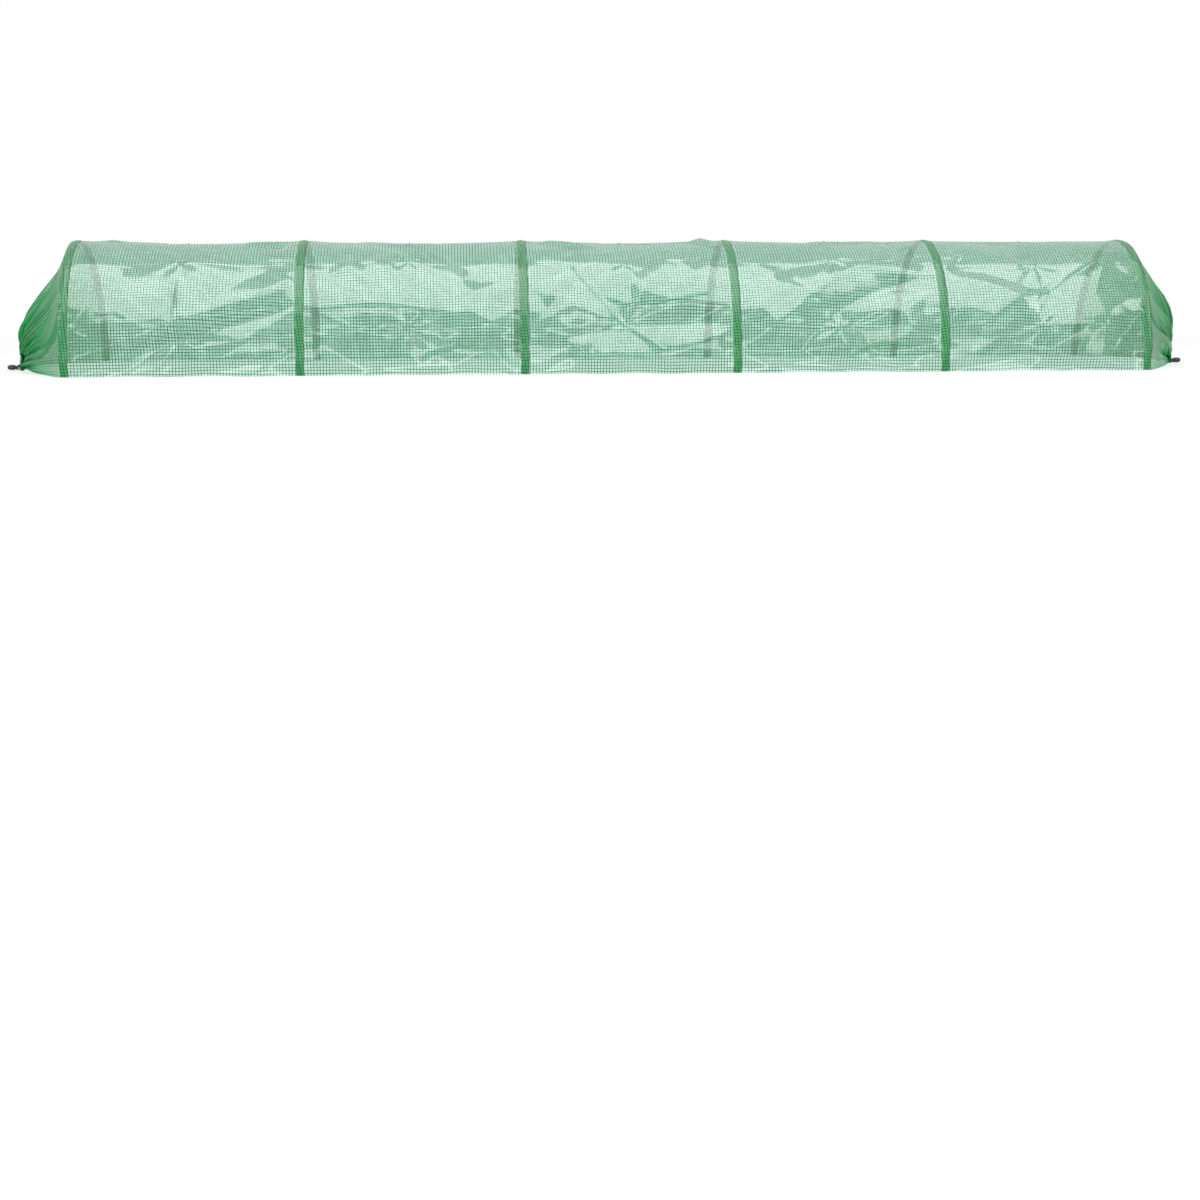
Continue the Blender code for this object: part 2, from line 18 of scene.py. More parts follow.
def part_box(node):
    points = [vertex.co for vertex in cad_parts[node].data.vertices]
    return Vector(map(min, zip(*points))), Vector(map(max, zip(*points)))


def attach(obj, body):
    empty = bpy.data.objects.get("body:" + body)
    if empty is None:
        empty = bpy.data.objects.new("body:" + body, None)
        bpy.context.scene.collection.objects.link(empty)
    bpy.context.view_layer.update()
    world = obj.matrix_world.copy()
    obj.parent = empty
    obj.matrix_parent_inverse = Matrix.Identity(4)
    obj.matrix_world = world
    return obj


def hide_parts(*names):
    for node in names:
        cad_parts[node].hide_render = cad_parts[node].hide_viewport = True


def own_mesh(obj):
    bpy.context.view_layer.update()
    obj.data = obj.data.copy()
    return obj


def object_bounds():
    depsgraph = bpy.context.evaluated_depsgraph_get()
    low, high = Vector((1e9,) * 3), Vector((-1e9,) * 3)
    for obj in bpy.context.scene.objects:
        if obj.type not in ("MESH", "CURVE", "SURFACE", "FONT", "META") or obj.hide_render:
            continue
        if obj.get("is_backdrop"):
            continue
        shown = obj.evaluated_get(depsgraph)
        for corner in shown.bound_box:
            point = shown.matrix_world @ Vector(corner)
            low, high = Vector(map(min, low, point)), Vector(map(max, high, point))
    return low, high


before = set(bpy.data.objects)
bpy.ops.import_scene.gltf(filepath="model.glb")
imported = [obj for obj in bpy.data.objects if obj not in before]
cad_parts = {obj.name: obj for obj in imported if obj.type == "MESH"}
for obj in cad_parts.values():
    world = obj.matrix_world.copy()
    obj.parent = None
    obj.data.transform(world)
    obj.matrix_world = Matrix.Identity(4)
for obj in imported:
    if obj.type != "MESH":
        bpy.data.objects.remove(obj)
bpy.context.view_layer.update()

# %% [markdown]
# ## Sizes that the CAD model fixes
# The hoops stand at six places along X. Their places, the ends of the tunnel and the wire's thickness
# are read from the frame, so that the film and the sleeves meet them exactly. The rest repeats the
# part's own named sizes.

# %% Read the hoops' places and name the shared sizes
MM = 0.001
HOOPS = range(1, 7)
hoop_x = [sum(corner.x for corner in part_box(f"hoop_wire_{number}")) / 2 for number in HOOPS]
wire_low, wire_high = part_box("hoop_wire_1")
WIRE_WIDTH = wire_high.x - wire_low.x
HALF_WIDTH = wire_high.y - WIRE_WIDTH / 2
CROWN = wire_high.z - WIRE_WIDTH / 2
LEG = 14 * MM
SHEET_START = 12.55 * MM
MOUTH_REACH = 165 * MM
SIDES = {"left": -1, "right": 1}
print("hoops at", [round(x, 3) for x in hoop_x])
print("half width", round(HALF_WIDTH, 4), "crown", round(CROWN, 4))

# %% [markdown]
# ## Camera
# The upper picture shows the whole tunnel from the side, from a little above its crown and about five
# metres away. The camera stands there and tips down, which puts the tunnel in the upper half of the
# square picture.

# %% Set the camera
CAMERA_PLACE = (-0.448, -4.975, 0.389)
CAMERA_PITCH = 12.31
CAMERA_TURN = -4.80
CAMERA_LENS = 50.9
camera = bpy.data.objects.new("camera", bpy.data.cameras.new("camera"))
bpy.context.scene.collection.objects.link(camera)
camera.location = CAMERA_PLACE
camera.rotation_euler = (math.radians(90 - CAMERA_PITCH), 0, math.radians(CAMERA_TURN))
camera.data.lens = CAMERA_LENS
camera.data.clip_end = 100
bpy.context.scene.camera = camera
print("camera stands", round(math.dist(CAMERA_PLACE, (0, 0, 0)), 2), "m from the tunnel's middle")

# %% [markdown]
# ## Colours and nodes
# Every colour is written as the sRGB hex value that a picture editor shows, and one function turns it
# into the linear values that Blender's shaders take. One small function adds a node: sockets are
# linked, values are set.

# %% Colour and node helpers
def linear(hex_colour):
    """The linear colour, with full alpha, of an sRGB hex value such as 3f8f5a."""
    channels = [int(hex_colour[index : index + 2], 16) / 255 for index in (0, 2, 4)]
    return (*((c / 12.92 if c <= 0.04045 else ((c + 0.055) / 1.055) ** 2.4) for c in channels), 1)


def add_node(tree, kind, settings=None, **inputs):
    """A node with its settings. An input is named, or numbered as i0: a socket is linked, a value is set."""
    made = tree.nodes.new(kind)
    for name, value in (settings or {}).items():
        setattr(made, name, value)
    for name, value in inputs.items():
        key = int(name[1:]) if name[0] == "i" and name[1:].isdigit() else name.replace("_", " ")
        if isinstance(value, bpy.types.NodeSocket):
            tree.links.new(value, made.inputs[key])
        else:
            made.inputs[key].default_value = value
    return made


def new_material(name, **constants):
    """A material, its tree and its Principled shader, with the values that hold all over the surface."""
    made = bpy.data.materials.new(name)
    made.use_nodes = True
    shader = made.node_tree.nodes["Principled BSDF"]
    for key, value in constants.items():
        shader.inputs[key.replace("_", " ")].default_value = value
    return made, made.node_tree, shader


print("leaf green 3f8f5a is", [round(part, 3) for part in linear("3f8f5a")], "in linear values")

# %% [markdown]
# ## Finish of the drawcords
# The cord is a round braid of black polypropylene. Its yarns are matt and a little hairy, so it shows
# no clear highlight, only a soft sheen. The plait itself is modelled; the material adds the yarn's
# fibres. A fibre is too fine to show in the render, so they are drawn six times as coarse.

# %% Braided polypropylene
FIBRE = 0.25 * MM
FIBRE_COARSER = 6
braid, tree, shader = new_material("braided polypropylene cord", Roughness=0.82, Sheen_Weight=0.25)
place = add_node(tree, "ShaderNodeTexCoord")
fibre_scale = 1 / (FIBRE * FIBRE_COARSER)
fibres = add_node(tree, "ShaderNodeTexNoise", Vector=place.outputs["Object"], Scale=fibre_scale, Detail=3.0)
tone = add_node(
    tree, "ShaderNodeMix", {"data_type": "RGBA"},
    i0=fibres.outputs["Fac"], i6=linear("0b0b0c"), i7=linear("26262a"),
)
tree.links.new(tone.outputs[2], shader.inputs["Base Color"])
relief = add_node(tree, "ShaderNodeBump", Strength=0.6, Distance=0.08 * MM, Height=fibres.outputs["Fac"])
tree.links.new(relief.outputs["Normal"], shader.inputs["Normal"])
print("fibres of", FIBRE / MM, "mm drawn", FIBRE_COARSER, "times as coarse")

# %% [markdown]
# ## The cords themselves
# Each end has one cord. Its two ends leave the toes of the gathered hem, pass through the cord lock,
# share one knot and end in two tails. The routes are the CAD part's own, written from the middle of the
# mouth as outward, sideways and up. A tube could be a bevelled curve, but a braid has crossing ridges,
# so the mesh is built ring by ring, with a radius that follows eight carriers, four wound each way.

# %% Cord routes
CORD = 2.5 * MM
NEAR_STRAND = (
    (10.3, -36.4, 7.5), (13.5, -36.4, 7.5), (17.5, -36.6, 7.0), (22.0, -37.1, 6.2), (26.5, -37.6, 5.8),
    (31.0, -37.2, 6.1), (34.8, -35.3, 6.9), (37.6, -32.0, 7.8), (39.3, -27.6, 8.4), (39.9, -22.5, 8.6),
    (39.9, -17.0, 8.6), (39.9, -5.0, 8.1), (39.9, 15.0, 7.4), (39.9, 35.0, 6.6), (39.9, 50.0, 6.0),
    (39.9, 61.7, 5.6),
)
FAR_STRAND = (
    (10.3, 36.4, 7.5), (13.5, 36.4, 7.5), (16.5, 35.7, 6.9), (18.8, 33.6, 5.7), (20.1, 30.3, 4.1),
    (20.5, 26.0, 2.7), (20.5, 21.0, 1.8), (20.4, 14.0, 1.4), (20.2, 7.0, 1.4), (20.2, 0.0, 1.4),
    (20.3, -8.0, 1.5), (20.8, -15.0, 1.9), (22.1, -21.0, 2.9), (24.7, -25.8, 4.4), (28.5, -28.3, 6.1),
    (32.5, -27.8, 7.5), (35.4, -24.8, 8.3), (36.8, -20.8, 8.6), (37.1, -17.0, 8.6), (37.1, -5.0, 8.1),
    (37.1, 15.0, 7.4), (37.1, 35.0, 6.6), (37.1, 50.0, 6.0), (37.1, 61.7, 5.6),
)
LONG_TAIL = (
    (37.1, 80.3, 5.6), (37.1, 84.0, 5.3), (37.0, 88.5, 4.2), (36.6, 93.5, 2.6), (35.9, 99.0, 1.6),
    (35.0, 105.0, 1.4), (34.1, 111.0, 1.4), (33.3, 117.0, 1.4), (32.8, 123.0, 1.4), (32.6, 129.0, 1.4),
)
SHORT_TAIL = (
    (39.9, 80.3, 5.6), (40.0, 83.0, 5.2), (40.7, 86.3, 4.2), (42.5, 89.3, 2.9), (45.5, 91.7, 1.9),
    (49.5, 93.3, 1.5), (54.0, 94.4, 1.4), (58.5, 95.3, 1.4),
)
KNOT_CENTRE = (38.5, 71.0, 5.6)


def from_mouth(side, points):
    """Points in the frame's metres, from millimetres outward, sideways and up from a mouth's middle."""
    sign = SIDES[side]
    end = hoop_x[0] if side == "left" else hoop_x[-1]
    outward, sideways, up = np.array(points, float).reshape(-1, 3).T * MM
    return np.stack([end + sign * (MOUTH_REACH + outward), sideways, up], axis=1)


def smooth_line(points, pitch):
    """Evenly spaced points on a smooth curve through the given ones."""
    knots = np.vstack([2 * points[0] - points[1], points, 2 * points[-1] - points[-2]])
    fine = [points[0]]
    for before, start, end, after in zip(knots, knots[1:], knots[2:], knots[3:]):
        for t in np.linspace(0, 1, 13)[1:]:
            ramp = (end - before) * t
            curve = (2 * before - 5 * start + 4 * end - after) * t**2
            twist = (3 * start - before - 3 * end + after) * t**3
            fine.append((2 * start + ramp + curve + twist) / 2)
    return even_line(np.array(fine), pitch)


def even_line(points, pitch):
    """The same line with points an even distance apart."""
    runs = np.concatenate([[0], np.cumsum(np.linalg.norm(np.diff(points, axis=0), axis=1))])
    count = max(round(runs[-1] / pitch), 2)
    targets = np.linspace(0, runs[-1], count + 1)
    return np.stack([np.interp(targets, runs, points[:, axis]) for axis in range(3)], axis=1)


def line_length(points):
    return float(np.linalg.norm(np.diff(points, axis=0), axis=1).sum())


sample = smooth_line(from_mouth("right", FAR_STRAND), CORD)
print("far strand is", round(line_length(sample) * 1000), "mm long")

# %% [markdown]
# ## Tubes that follow a line
# Cords, wires, knots and springs are all tubes along a line. At each point the line has a direction and
# two crosswise ones, which turn as little as they can from point to point, so the tube never twists by
# itself. Rings of points are laid on those, and a function gives each ring's radius.

# %% Frames along a line
def new_object(name, mesh):
    made = bpy.data.objects.new(name, mesh)
    bpy.context.scene.collection.objects.link(made)
    return made


def line_frames(points):
    """The direction and two crosswise ones at each point, turned as little as possible on the way."""
    tangents = np.gradient(points, axis=0)
    tangents /= np.linalg.norm(tangents, axis=1)[:, None]
    across = np.zeros_like(points)
    first = np.cross(tangents[0], (0, 0, 1.0) if abs(tangents[0][2]) < 0.9 else (1.0, 0, 0))
    across[0] = first / np.linalg.norm(first)
    for index in range(1, len(points)):
        turned = across[index - 1] - tangents[index] * (across[index - 1] @ tangents[index])
        across[index] = turned / np.linalg.norm(turned)
    return tangents, across, np.cross(tangents, across)


tangents, _, _ = line_frames(sample)
print("the far strand leaves the mouth towards", [round(float(part), 2) for part in tangents[0]])

# %% [markdown]
# ## From rings of points to a mesh
# The rings are joined by quads and capped at both ends. One function makes a mesh of several such
# parts, turns its faces outwards, smooths it and keeps its real edges sharp.

# %% Rings, faces and meshes
def grid_faces(rows, columns, closed):
    """Quads over rows of points. A closed grid joins the last column to the first."""
    faces = []
    for row in range(rows - 1):
        for column in range(columns if closed else columns - 1):
            after = (column + 1) % columns
            a, b = row * columns, (row + 1) * columns
            faces.append((a + column, a + after, b + after, b + column))
    return faces


def tube_parts(points, sides, radius_at):
    """Vertices and faces of a capped tube. radius_at takes the turn and the run along the line."""
    _, across, up = line_frames(points)
    run = np.concatenate([[0], np.cumsum(np.linalg.norm(np.diff(points, axis=0), axis=1))])
    turns = np.arange(sides) * 2 * math.pi / sides
    radius = radius_at(turns[None, :], run[:, None]) + np.zeros((len(points), sides))
    rings = points[:, None, :] + radius[..., None] * (
        np.cos(turns)[None, :, None] * across[:, None, :] + np.sin(turns)[None, :, None] * up[:, None, :]
    )
    vertices = rings.reshape(-1, 3)
    faces = grid_faces(len(points), sides, True)
    caps = [tuple(reversed(range(sides))), tuple(range(len(vertices) - sides, len(vertices)))]
    return vertices, faces + caps


def mesh_from(name, groups, material, smooth_angle=50):
    """One mesh from several groups of vertices and faces."""
    vertices, faces = [], []
    for group_vertices, group_faces in groups:
        start = sum(len(v) for v in vertices)
        vertices.append(np.asarray(group_vertices))
        faces += [tuple(index + start for index in face) for face in group_faces]
    mesh = bpy.data.meshes.new(name)
    mesh.from_pydata(np.vstack(vertices).tolist(), [], faces)
    work = bmesh.new()
    work.from_mesh(mesh)
    bmesh.ops.recalc_face_normals(work, faces=work.faces)
    work.to_mesh(mesh)
    work.free()
    mesh.materials.append(material)
    mesh.shade_smooth()
    mesh.set_sharp_from_angle(angle=math.radians(smooth_angle))
    return mesh


square = tube_parts(sample[:2], 4, lambda turn, run: np.full(1, CORD))
print("a square tube of two rings has", len(square[1]), "faces")

# %% [markdown]
# ## The braid
# A round braid has yarns wound both ways, each passing over and under the others, so its surface is a
# pattern of small crossing ridges. They are in the mesh, because a cord's outline shows them.

# %% Radius of the braid
CARRIERS = 4
PLAIT_PITCH = 5.5 * MM


def braid_radius(turn, run):
    """The radius of the braid at a turn round it and a run along it."""
    phase = 2 * math.pi * run / PLAIT_PITCH
    one = np.cos(CARRIERS * turn + phase)
    two = np.cos(CARRIERS * turn - phase)
    over = np.maximum(np.abs(one), np.abs(two))
    return CORD / 2 * (0.9 + 0.13 * over)


def braided(points):
    return tube_parts(smooth_line(points, 0.7 * MM), 18, braid_radius)


print("one plait repeats every", PLAIT_PITCH * 1000, "mm")

# %% [markdown]
# ## The knot
# Both strands are bound by a pulled barrel knot: the cord's own end is wound round them in close turns.
# It is made as the real one is, from a helix of the same braid round the two straight strands.

# %% Wind the knot
KNOT_TURNS = 5.5
KNOT_LENGTH = 18 * MM


def knot_groups(side):
    centre = from_mouth(side, KNOT_CENTRE)[0]
    share = np.linspace(0, 1, 150)
    angle = share * KNOT_TURNS * 2 * math.pi + 0.6
    waist = np.minimum(1, np.minimum(share, 1 - share) / 0.09 + 0.45)
    radius = (CORD * 1.06 + CORD * 0.22) * waist
    along = (share - 0.5) * (KNOT_LENGTH - CORD * 1.1)
    bulge = 1 + 0.05 * np.sin(angle * 0.7 + 1.0)
    helix = centre + np.stack([radius * np.cos(angle) * bulge, along, radius * np.sin(angle)], axis=1)
    return [braided(helix)]


knot_vertices, _ = knot_groups("right")[0]
print("a knot is", round(float(np.ptp(knot_vertices[:, 1])) / MM, 1), "mm long")

# %% [markdown]
# ## Cords of both ends
# One mesh holds a strand and its tail, from the hem through the lock and the knot to the cut end. The
# short stretch inside the hem keeps its CAD shape and takes the braid's material.

# %% Make the cords and the knot of each end
cords = {}
for side in SIDES:
    knot = new_object(f"knot_{side}", mesh_from(f"knot_{side}", knot_groups(side), braid))
    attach(knot, f"mouth_{side}")
    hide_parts(f"cord_knot_{side}")
    stretches = {
        "near": (NEAR_STRAND, "short_tail", SHORT_TAIL),
        "far": (FAR_STRAND, "long_tail", LONG_TAIL),
    }
    for name, (strand, tail, tail_route) in stretches.items():
        points = from_mouth(side, strand + tail_route)
        label = f"cord_{name}_{side}"
        piece = new_object(label, mesh_from(label, [braided(points)], braid))
        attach(piece, f"mouth_{side}")
        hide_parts(f"{name}_strand_{side}", f"{tail}_{side}")
        path = smooth_line(points, CORD * 2)
        cords[name, side] = round(line_length(path) * 1000)
    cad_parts[f"casing_cord_{side}"].data.materials.clear()
    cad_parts[f"casing_cord_{side}"].data.materials.append(braid)
print("cord stretches in mm:", cords)

# %% [markdown]
# ## Cord lock
# A spring cord lock has an oval barrel of acetal, moulded in two halves, and a push button with a grip
# on its top. Acetal is dense and waxy: its highlight is broad, and a fine spark texture from the mould
# breaks it up. That grain is too fine to show in the render, so it is drawn three times as coarse.
# Handling leaves patches a few millimetres wide that are a little rougher.

# %% Moulded acetal
SPARK_GRAIN = 0.18 * MM
GRAIN_COARSER = 3
SCUFF = 3.846 * MM
acetal, tree, shader = new_material("black acetal", Base_Color=linear("17171a"), IOR=1.48)
place = add_node(tree, "ShaderNodeTexCoord")
grain_scale = 1 / (SPARK_GRAIN * GRAIN_COARSER)
grain = add_node(tree, "ShaderNodeTexNoise", Vector=place.outputs["Object"], Scale=grain_scale, Detail=2.0)
scuffs = add_node(tree, "ShaderNodeTexNoise", Vector=place.outputs["Object"], Scale=1 / SCUFF, Detail=4.0)
rough = add_node(tree, "ShaderNodeMapRange", i0=scuffs.outputs["Fac"], i1=0.35, i2=0.7, i3=0.34, i4=0.52)
tree.links.new(rough.outputs[0], shader.inputs["Roughness"])
relief = add_node(tree, "ShaderNodeBump", Strength=0.35, Distance=0.03 * MM, Height=grain.outputs["Fac"])
tree.links.new(relief.outputs["Normal"], shader.inputs["Normal"])
print("grain of", round(SPARK_GRAIN / MM, 2), "mm drawn", GRAIN_COARSER, "times as coarse")

# %% [markdown]
# ## The lock's shape
# Barrel and button are turned shapes: a profile, as shares of the lock's length and half width, goes
# round the axis and is flattened. A smooth curve through a few points gives the profile its moulded
# roundness.

# %% Turn a profile
LOCK_WIDTH, LOCK_LENGTH, LOCK_FLATNESS = 18 * MM, 21.5 * MM, 0.8
LOCK_RIM = (30.5, -8.0, 7.4)
BARREL_OUTLINE = (
    (1.0, 0.30), (0.96, 0.56), (0.87, 0.78), (0.72, 0.93), (0.52, 1.0), (0.30, 0.99), (0.10, 0.93),
    (0.0, 0.86),
)
CAVITY, CAVITY_FLOOR = 6.25 * MM, 19.5 * MM
BORE_HALF = 3.0 * MM
BORE_FROM_RIM = 8.0 * MM
BUTTON_RADIUS, BUTTON_PROUD, BUTTON_STEM = 5.95 * MM, 6.5 * MM, 13.0 * MM
TURN_STEPS = 56


def turned(side, profile):
    """Vertices and faces of a profile of (along, out) turned about the lock's axis and flattened."""
    rim = from_mouth(side, LOCK_RIM)[0]
    turns = np.arange(TURN_STEPS) * 2 * math.pi / TURN_STEPS
    rings = []
    for along, out in profile:
        place = np.full(TURN_STEPS, SIDES[side] * along)
        ring = np.stack([place, out * np.cos(turns), out * np.sin(turns) * LOCK_FLATNESS], axis=1)
        rings.append(rim + ring)
    faces = grid_faces(len(rings), TURN_STEPS, True)
    last = len(rings) * TURN_STEPS
    faces += [tuple(reversed(range(TURN_STEPS))), tuple(range(last - TURN_STEPS, last))]
    return np.vstack(rings), faces


def rounded(points, pitch):
    line = np.array([(along, out, 0.0) for along, out in points])
    return [(along, out) for along, out, _ in smooth_line(line, pitch)]


print("lock turned in", TURN_STEPS, "steps")

# %% [markdown]
# ## Openings of the lock
# The bore for the strands crosses the barrel and the button from side to side. A Boolean with a box
# whose long edges are rounded cuts it as a core in the mould would. The modifier is applied and the
# cutter taken away, so only the finished piece stays.

# %% Cut a rounded opening
def cut_box(piece, centre, size, corner):
    """Cuts a rounded opening through a piece with a Boolean, applies it and removes the cutter."""
    work = bmesh.new()
    bmesh.ops.create_cube(work, size=1)
    for vertex in work.verts:
        vertex.co = Vector(centre) + Vector(size) * vertex.co
    long_edges = [edge for edge in work.edges if abs(edge.verts[0].co.y - edge.verts[1].co.y) > size[1] / 2]
    bmesh.ops.bevel(work, geom=long_edges, offset=corner, segments=5, profile=0.5, affect="EDGES")
    shape = bpy.data.meshes.new("cutter")
    work.to_mesh(shape)
    work.free()
    cutter = new_object("cutter", shape)
    cut = piece.modifiers.new("Opening", "BOOLEAN")
    cut.object = cutter
    cut.operation = "DIFFERENCE"
    bpy.context.view_layer.update()
    result = bpy.data.meshes.new_from_object(piece.evaluated_get(bpy.context.evaluated_depsgraph_get()))
    piece.modifiers.clear()
    piece.data = result
    result.set_sharp_from_angle(angle=math.radians(35))
    bpy.data.objects.remove(cutter)


print("the bore is", round(2 * BORE_HALF / MM, 1), "mm square")

# %% [markdown]
# ## Barrel and button
# The barrel's profile runs from its closed end, past the line where the mould parted, to the rim and
# down into the cavity. The button's runs from its stem up to a low dome with grip rings on its top.

# %% Make the barrel and the button
GROOVE_SHARE, GROOVE_DEPTH, GROOVE_WIDTH = 0.62, 0.12 * MM, 0.25 * MM
BARREL_SHARES = (0.04, 0.15)
GRIP_SHARES = (0.60, 0.50, 0.48, 0.36, 0.34, 0.22, 0.20, 0.05)
GRIP_STEP = 0.35 * MM


def seam_groove(points):
    """The profile with the shallow line where the two halves of the mould met."""
    groove = GROOVE_SHARE * LOCK_LENGTH
    return [
        (along, out - GROOVE_DEPTH * math.exp(-(((along - groove) / GROOVE_WIDTH) ** 2)))
        for along, out in points
    ]


for side, sign in SIDES.items():
    outline = [(LOCK_LENGTH * along, LOCK_WIDTH / 2 * out) for along, out in BARREL_OUTLINE]
    end = [(LOCK_LENGTH, LOCK_WIDTH / 2 * share) for share in BARREL_SHARES]
    outline = end + seam_groove(rounded(outline, 0.3 * MM))
    lip = [(-0.25 * MM, LOCK_WIDTH / 2 * 0.80), (0.1 * MM, CAVITY + 0.25 * MM), (0.5 * MM, CAVITY)]
    inside = [(CAVITY_FLOOR, CAVITY), (CAVITY_FLOOR, 0.3 * MM)]
    shell = turned(side, outline + lip + inside)
    barrel = new_object(f"barrel_{side}", mesh_from(f"barrel_{side}", [shell], acetal, 35))
    rim = from_mouth(side, LOCK_RIM)[0]
    bore_centre = rim + np.array([sign * BORE_FROM_RIM, 0, 0])
    cut_box(barrel, bore_centre, (2 * BORE_HALF, LOCK_WIDTH * 1.4, 2 * BORE_HALF), 1.4 * MM)
    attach(barrel, f"lock_{side}")
    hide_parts(f"lock_barrel_{side}")

    edge = [(-3.9 * MM, BUTTON_RADIUS), (-5.4 * MM, BUTTON_RADIUS * 0.90), (-6.2 * MM, BUTTON_RADIUS * 0.66)]
    dome = rounded(edge, 0.3 * MM)
    steps = [
        (-BUTTON_PROUD + (0.0 if index % 2 else GRIP_STEP), BUTTON_RADIUS * share)
        for index, share in enumerate(GRIP_SHARES)
    ]
    profile = [(BUTTON_STEM, 0.3 * MM), (BUTTON_STEM, BUTTON_RADIUS)] + dome + steps
    button = new_object(f"button_{side}", mesh_from(f"button_{side}", [turned(side, profile)], acetal, 35))
    slot_centre = rim + np.array([sign * 6.5 * MM, 0, 0])
    cut_box(button, slot_centre, (8.9 * MM, LOCK_WIDTH * 1.4, 2 * BORE_HALF), 1.4 * MM)
    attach(button, f"button_{side}")
    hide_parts(f"lock_button_{side}")
print("the button stands", round(BUTTON_PROUD / MM, 1), "mm proud")

# %% [markdown]
# ## Steel: the hoops' wire and the locks' springs
# The hoops are drawn steel wire with a zinc coat. Fresh zinc is pale grey with a soft shine that
# changes in patches nearly a centimetre long. The spring is bright music wire, whose polish varies from
# one millimetre to the next.

# %% Zinc-coated wire and spring steel
ZINC_PATCH = 9 * MM
POLISH_PATCH = 1.111 * MM
zinc, tree, shader = new_material("zinc-coated steel wire", Metallic=1.0)
place = add_node(tree, "ShaderNodeTexCoord")
patch_scale = 1 / ZINC_PATCH
patches = add_node(tree, "ShaderNodeTexNoise", Vector=place.outputs["Object"], Scale=patch_scale, Detail=4.0)
tone = add_node(
    tree, "ShaderNodeMix", {"data_type": "RGBA"},
    i0=patches.outputs["Fac"], i6=linear("a9b0b2"), i7=linear("dde2e2"),
)
rough = add_node(tree, "ShaderNodeMapRange", i0=patches.outputs["Fac"], i1=0.3, i2=0.7, i3=0.3, i4=0.5)
tree.links.new(tone.outputs[2], shader.inputs["Base Color"])
tree.links.new(rough.outputs[0], shader.inputs["Roughness"])

music_wire, tree, shader = new_material("spring steel", Metallic=1.0, Base_Color=linear("b9bcc0"))
place = add_node(tree, "ShaderNodeTexCoord")
drawn = add_node(tree, "ShaderNodeTexNoise", Vector=place.outputs["Object"], Scale=1 / POLISH_PATCH)
rough = add_node(tree, "ShaderNodeMapRange", i0=drawn.outputs["Fac"], i1=0.3, i2=0.7, i3=0.2, i4=0.35)
tree.links.new(rough.outputs[0], shader.inputs["Roughness"])
print("zinc in patches of about", round(ZINC_PATCH / MM), "mm")

# %% [markdown]
# ## Springs of the locks
# A coil of music wire stands between the button's stem and the barrel's floor. Pressing the button
# shortens it. Here it is made as a plain coil with a mesh of its own.

# %% Coil the two springs
SPRING_WIRE, SPRING_CURLS = 0.6 * MM, 3.5
for side, sign in SIDES.items():
    low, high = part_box(f"lock_spring_{side}")
    radius = (high.y - low.y - SPRING_WIRE) / 2
    turn = np.linspace(0, 2 * math.pi * SPRING_CURLS, 150)
    run = np.linspace(low.x + SPRING_WIRE / 2, high.x - SPRING_WIRE / 2, len(turn))
    middle_y, middle_z = (low.y + high.y) / 2, (low.z + high.z) / 2
    coil = np.stack([run, middle_y + radius * np.cos(turn), middle_z + radius * np.sin(turn)], axis=1)
    parts = tube_parts(coil, 10, lambda turn, run: np.full(1, SPRING_WIRE / 2))
    spring = new_object(f"spring_{side}", mesh_from(f"spring_{side}", [parts], music_wire))
    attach(spring, f"lock_{side}")
    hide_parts(f"lock_spring_{side}")
    length = high.x - low.x
    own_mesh(spring)

# %% [markdown]
# ## The line of a hoop
# Each hoop is half an ellipse on two short upright legs. Film and sleeves all need points on it by
# their length along the wire, with the direction that points out of the tunnel, so one finely divided
# line serves them all.

# %% Points on the hoop by length
ARCH = CROWN - LEG
angles = np.linspace(0, math.pi, 721)
arch_y, arch_z = -HALF_WIDTH * np.cos(angles), LEG + ARCH * np.sin(angles)
line_y = np.concatenate([[-HALF_WIDTH], arch_y, [HALF_WIDTH]])
line_z = np.concatenate([[0.0], arch_z, [0.0]])
normal_y = np.concatenate([[-1.0], -np.cos(angles) / HALF_WIDTH, [1.0]])
normal_z = np.concatenate([[0.0], np.sin(angles) / ARCH, [0.0]])
size = np.hypot(normal_y, normal_z)
normal_y, normal_z = normal_y / size, normal_z / size
line_run = np.concatenate([[0], np.cumsum(np.hypot(np.diff(line_y), np.diff(line_z)))])
GIRTH = float(line_run[-1])


def hoop_at(share):
    """y and z on a hoop, and of its outward direction, at a share of its length from the near foot."""
    run = np.asarray(share) * GIRTH
    return [np.interp(run, line_run, values) for values in (line_y, line_z, normal_y, normal_z)]


print("a hoop's wire is", round(GIRTH, 3), "m long")

# %% [markdown]
# ## Wire hoops
# The CAD hoop is drawn with few corners. Its wire shows through the film, so a rounder one stands for
# it, on the same line: a tube with feet cut square.

# %% Bend the six wires
share = np.linspace(0, 1, 145)
y, z, _, _ = hoop_at(share)
for number, x in zip(HOOPS, hoop_x):
    centre = np.stack([np.full(len(share), x), y, z], axis=1)
    rod = tube_parts(centre, 14, lambda turn, run: np.full(1, WIRE_WIDTH / 2))
    wire = new_object(f"wire_{number}", mesh_from(f"wire_{number}", [rod], zinc))
    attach(wire, f"hoop_{number}")
    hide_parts(f"hoop_wire_{number}")
print("wire", round(WIRE_WIDTH * 1000, 1), "mm thick")
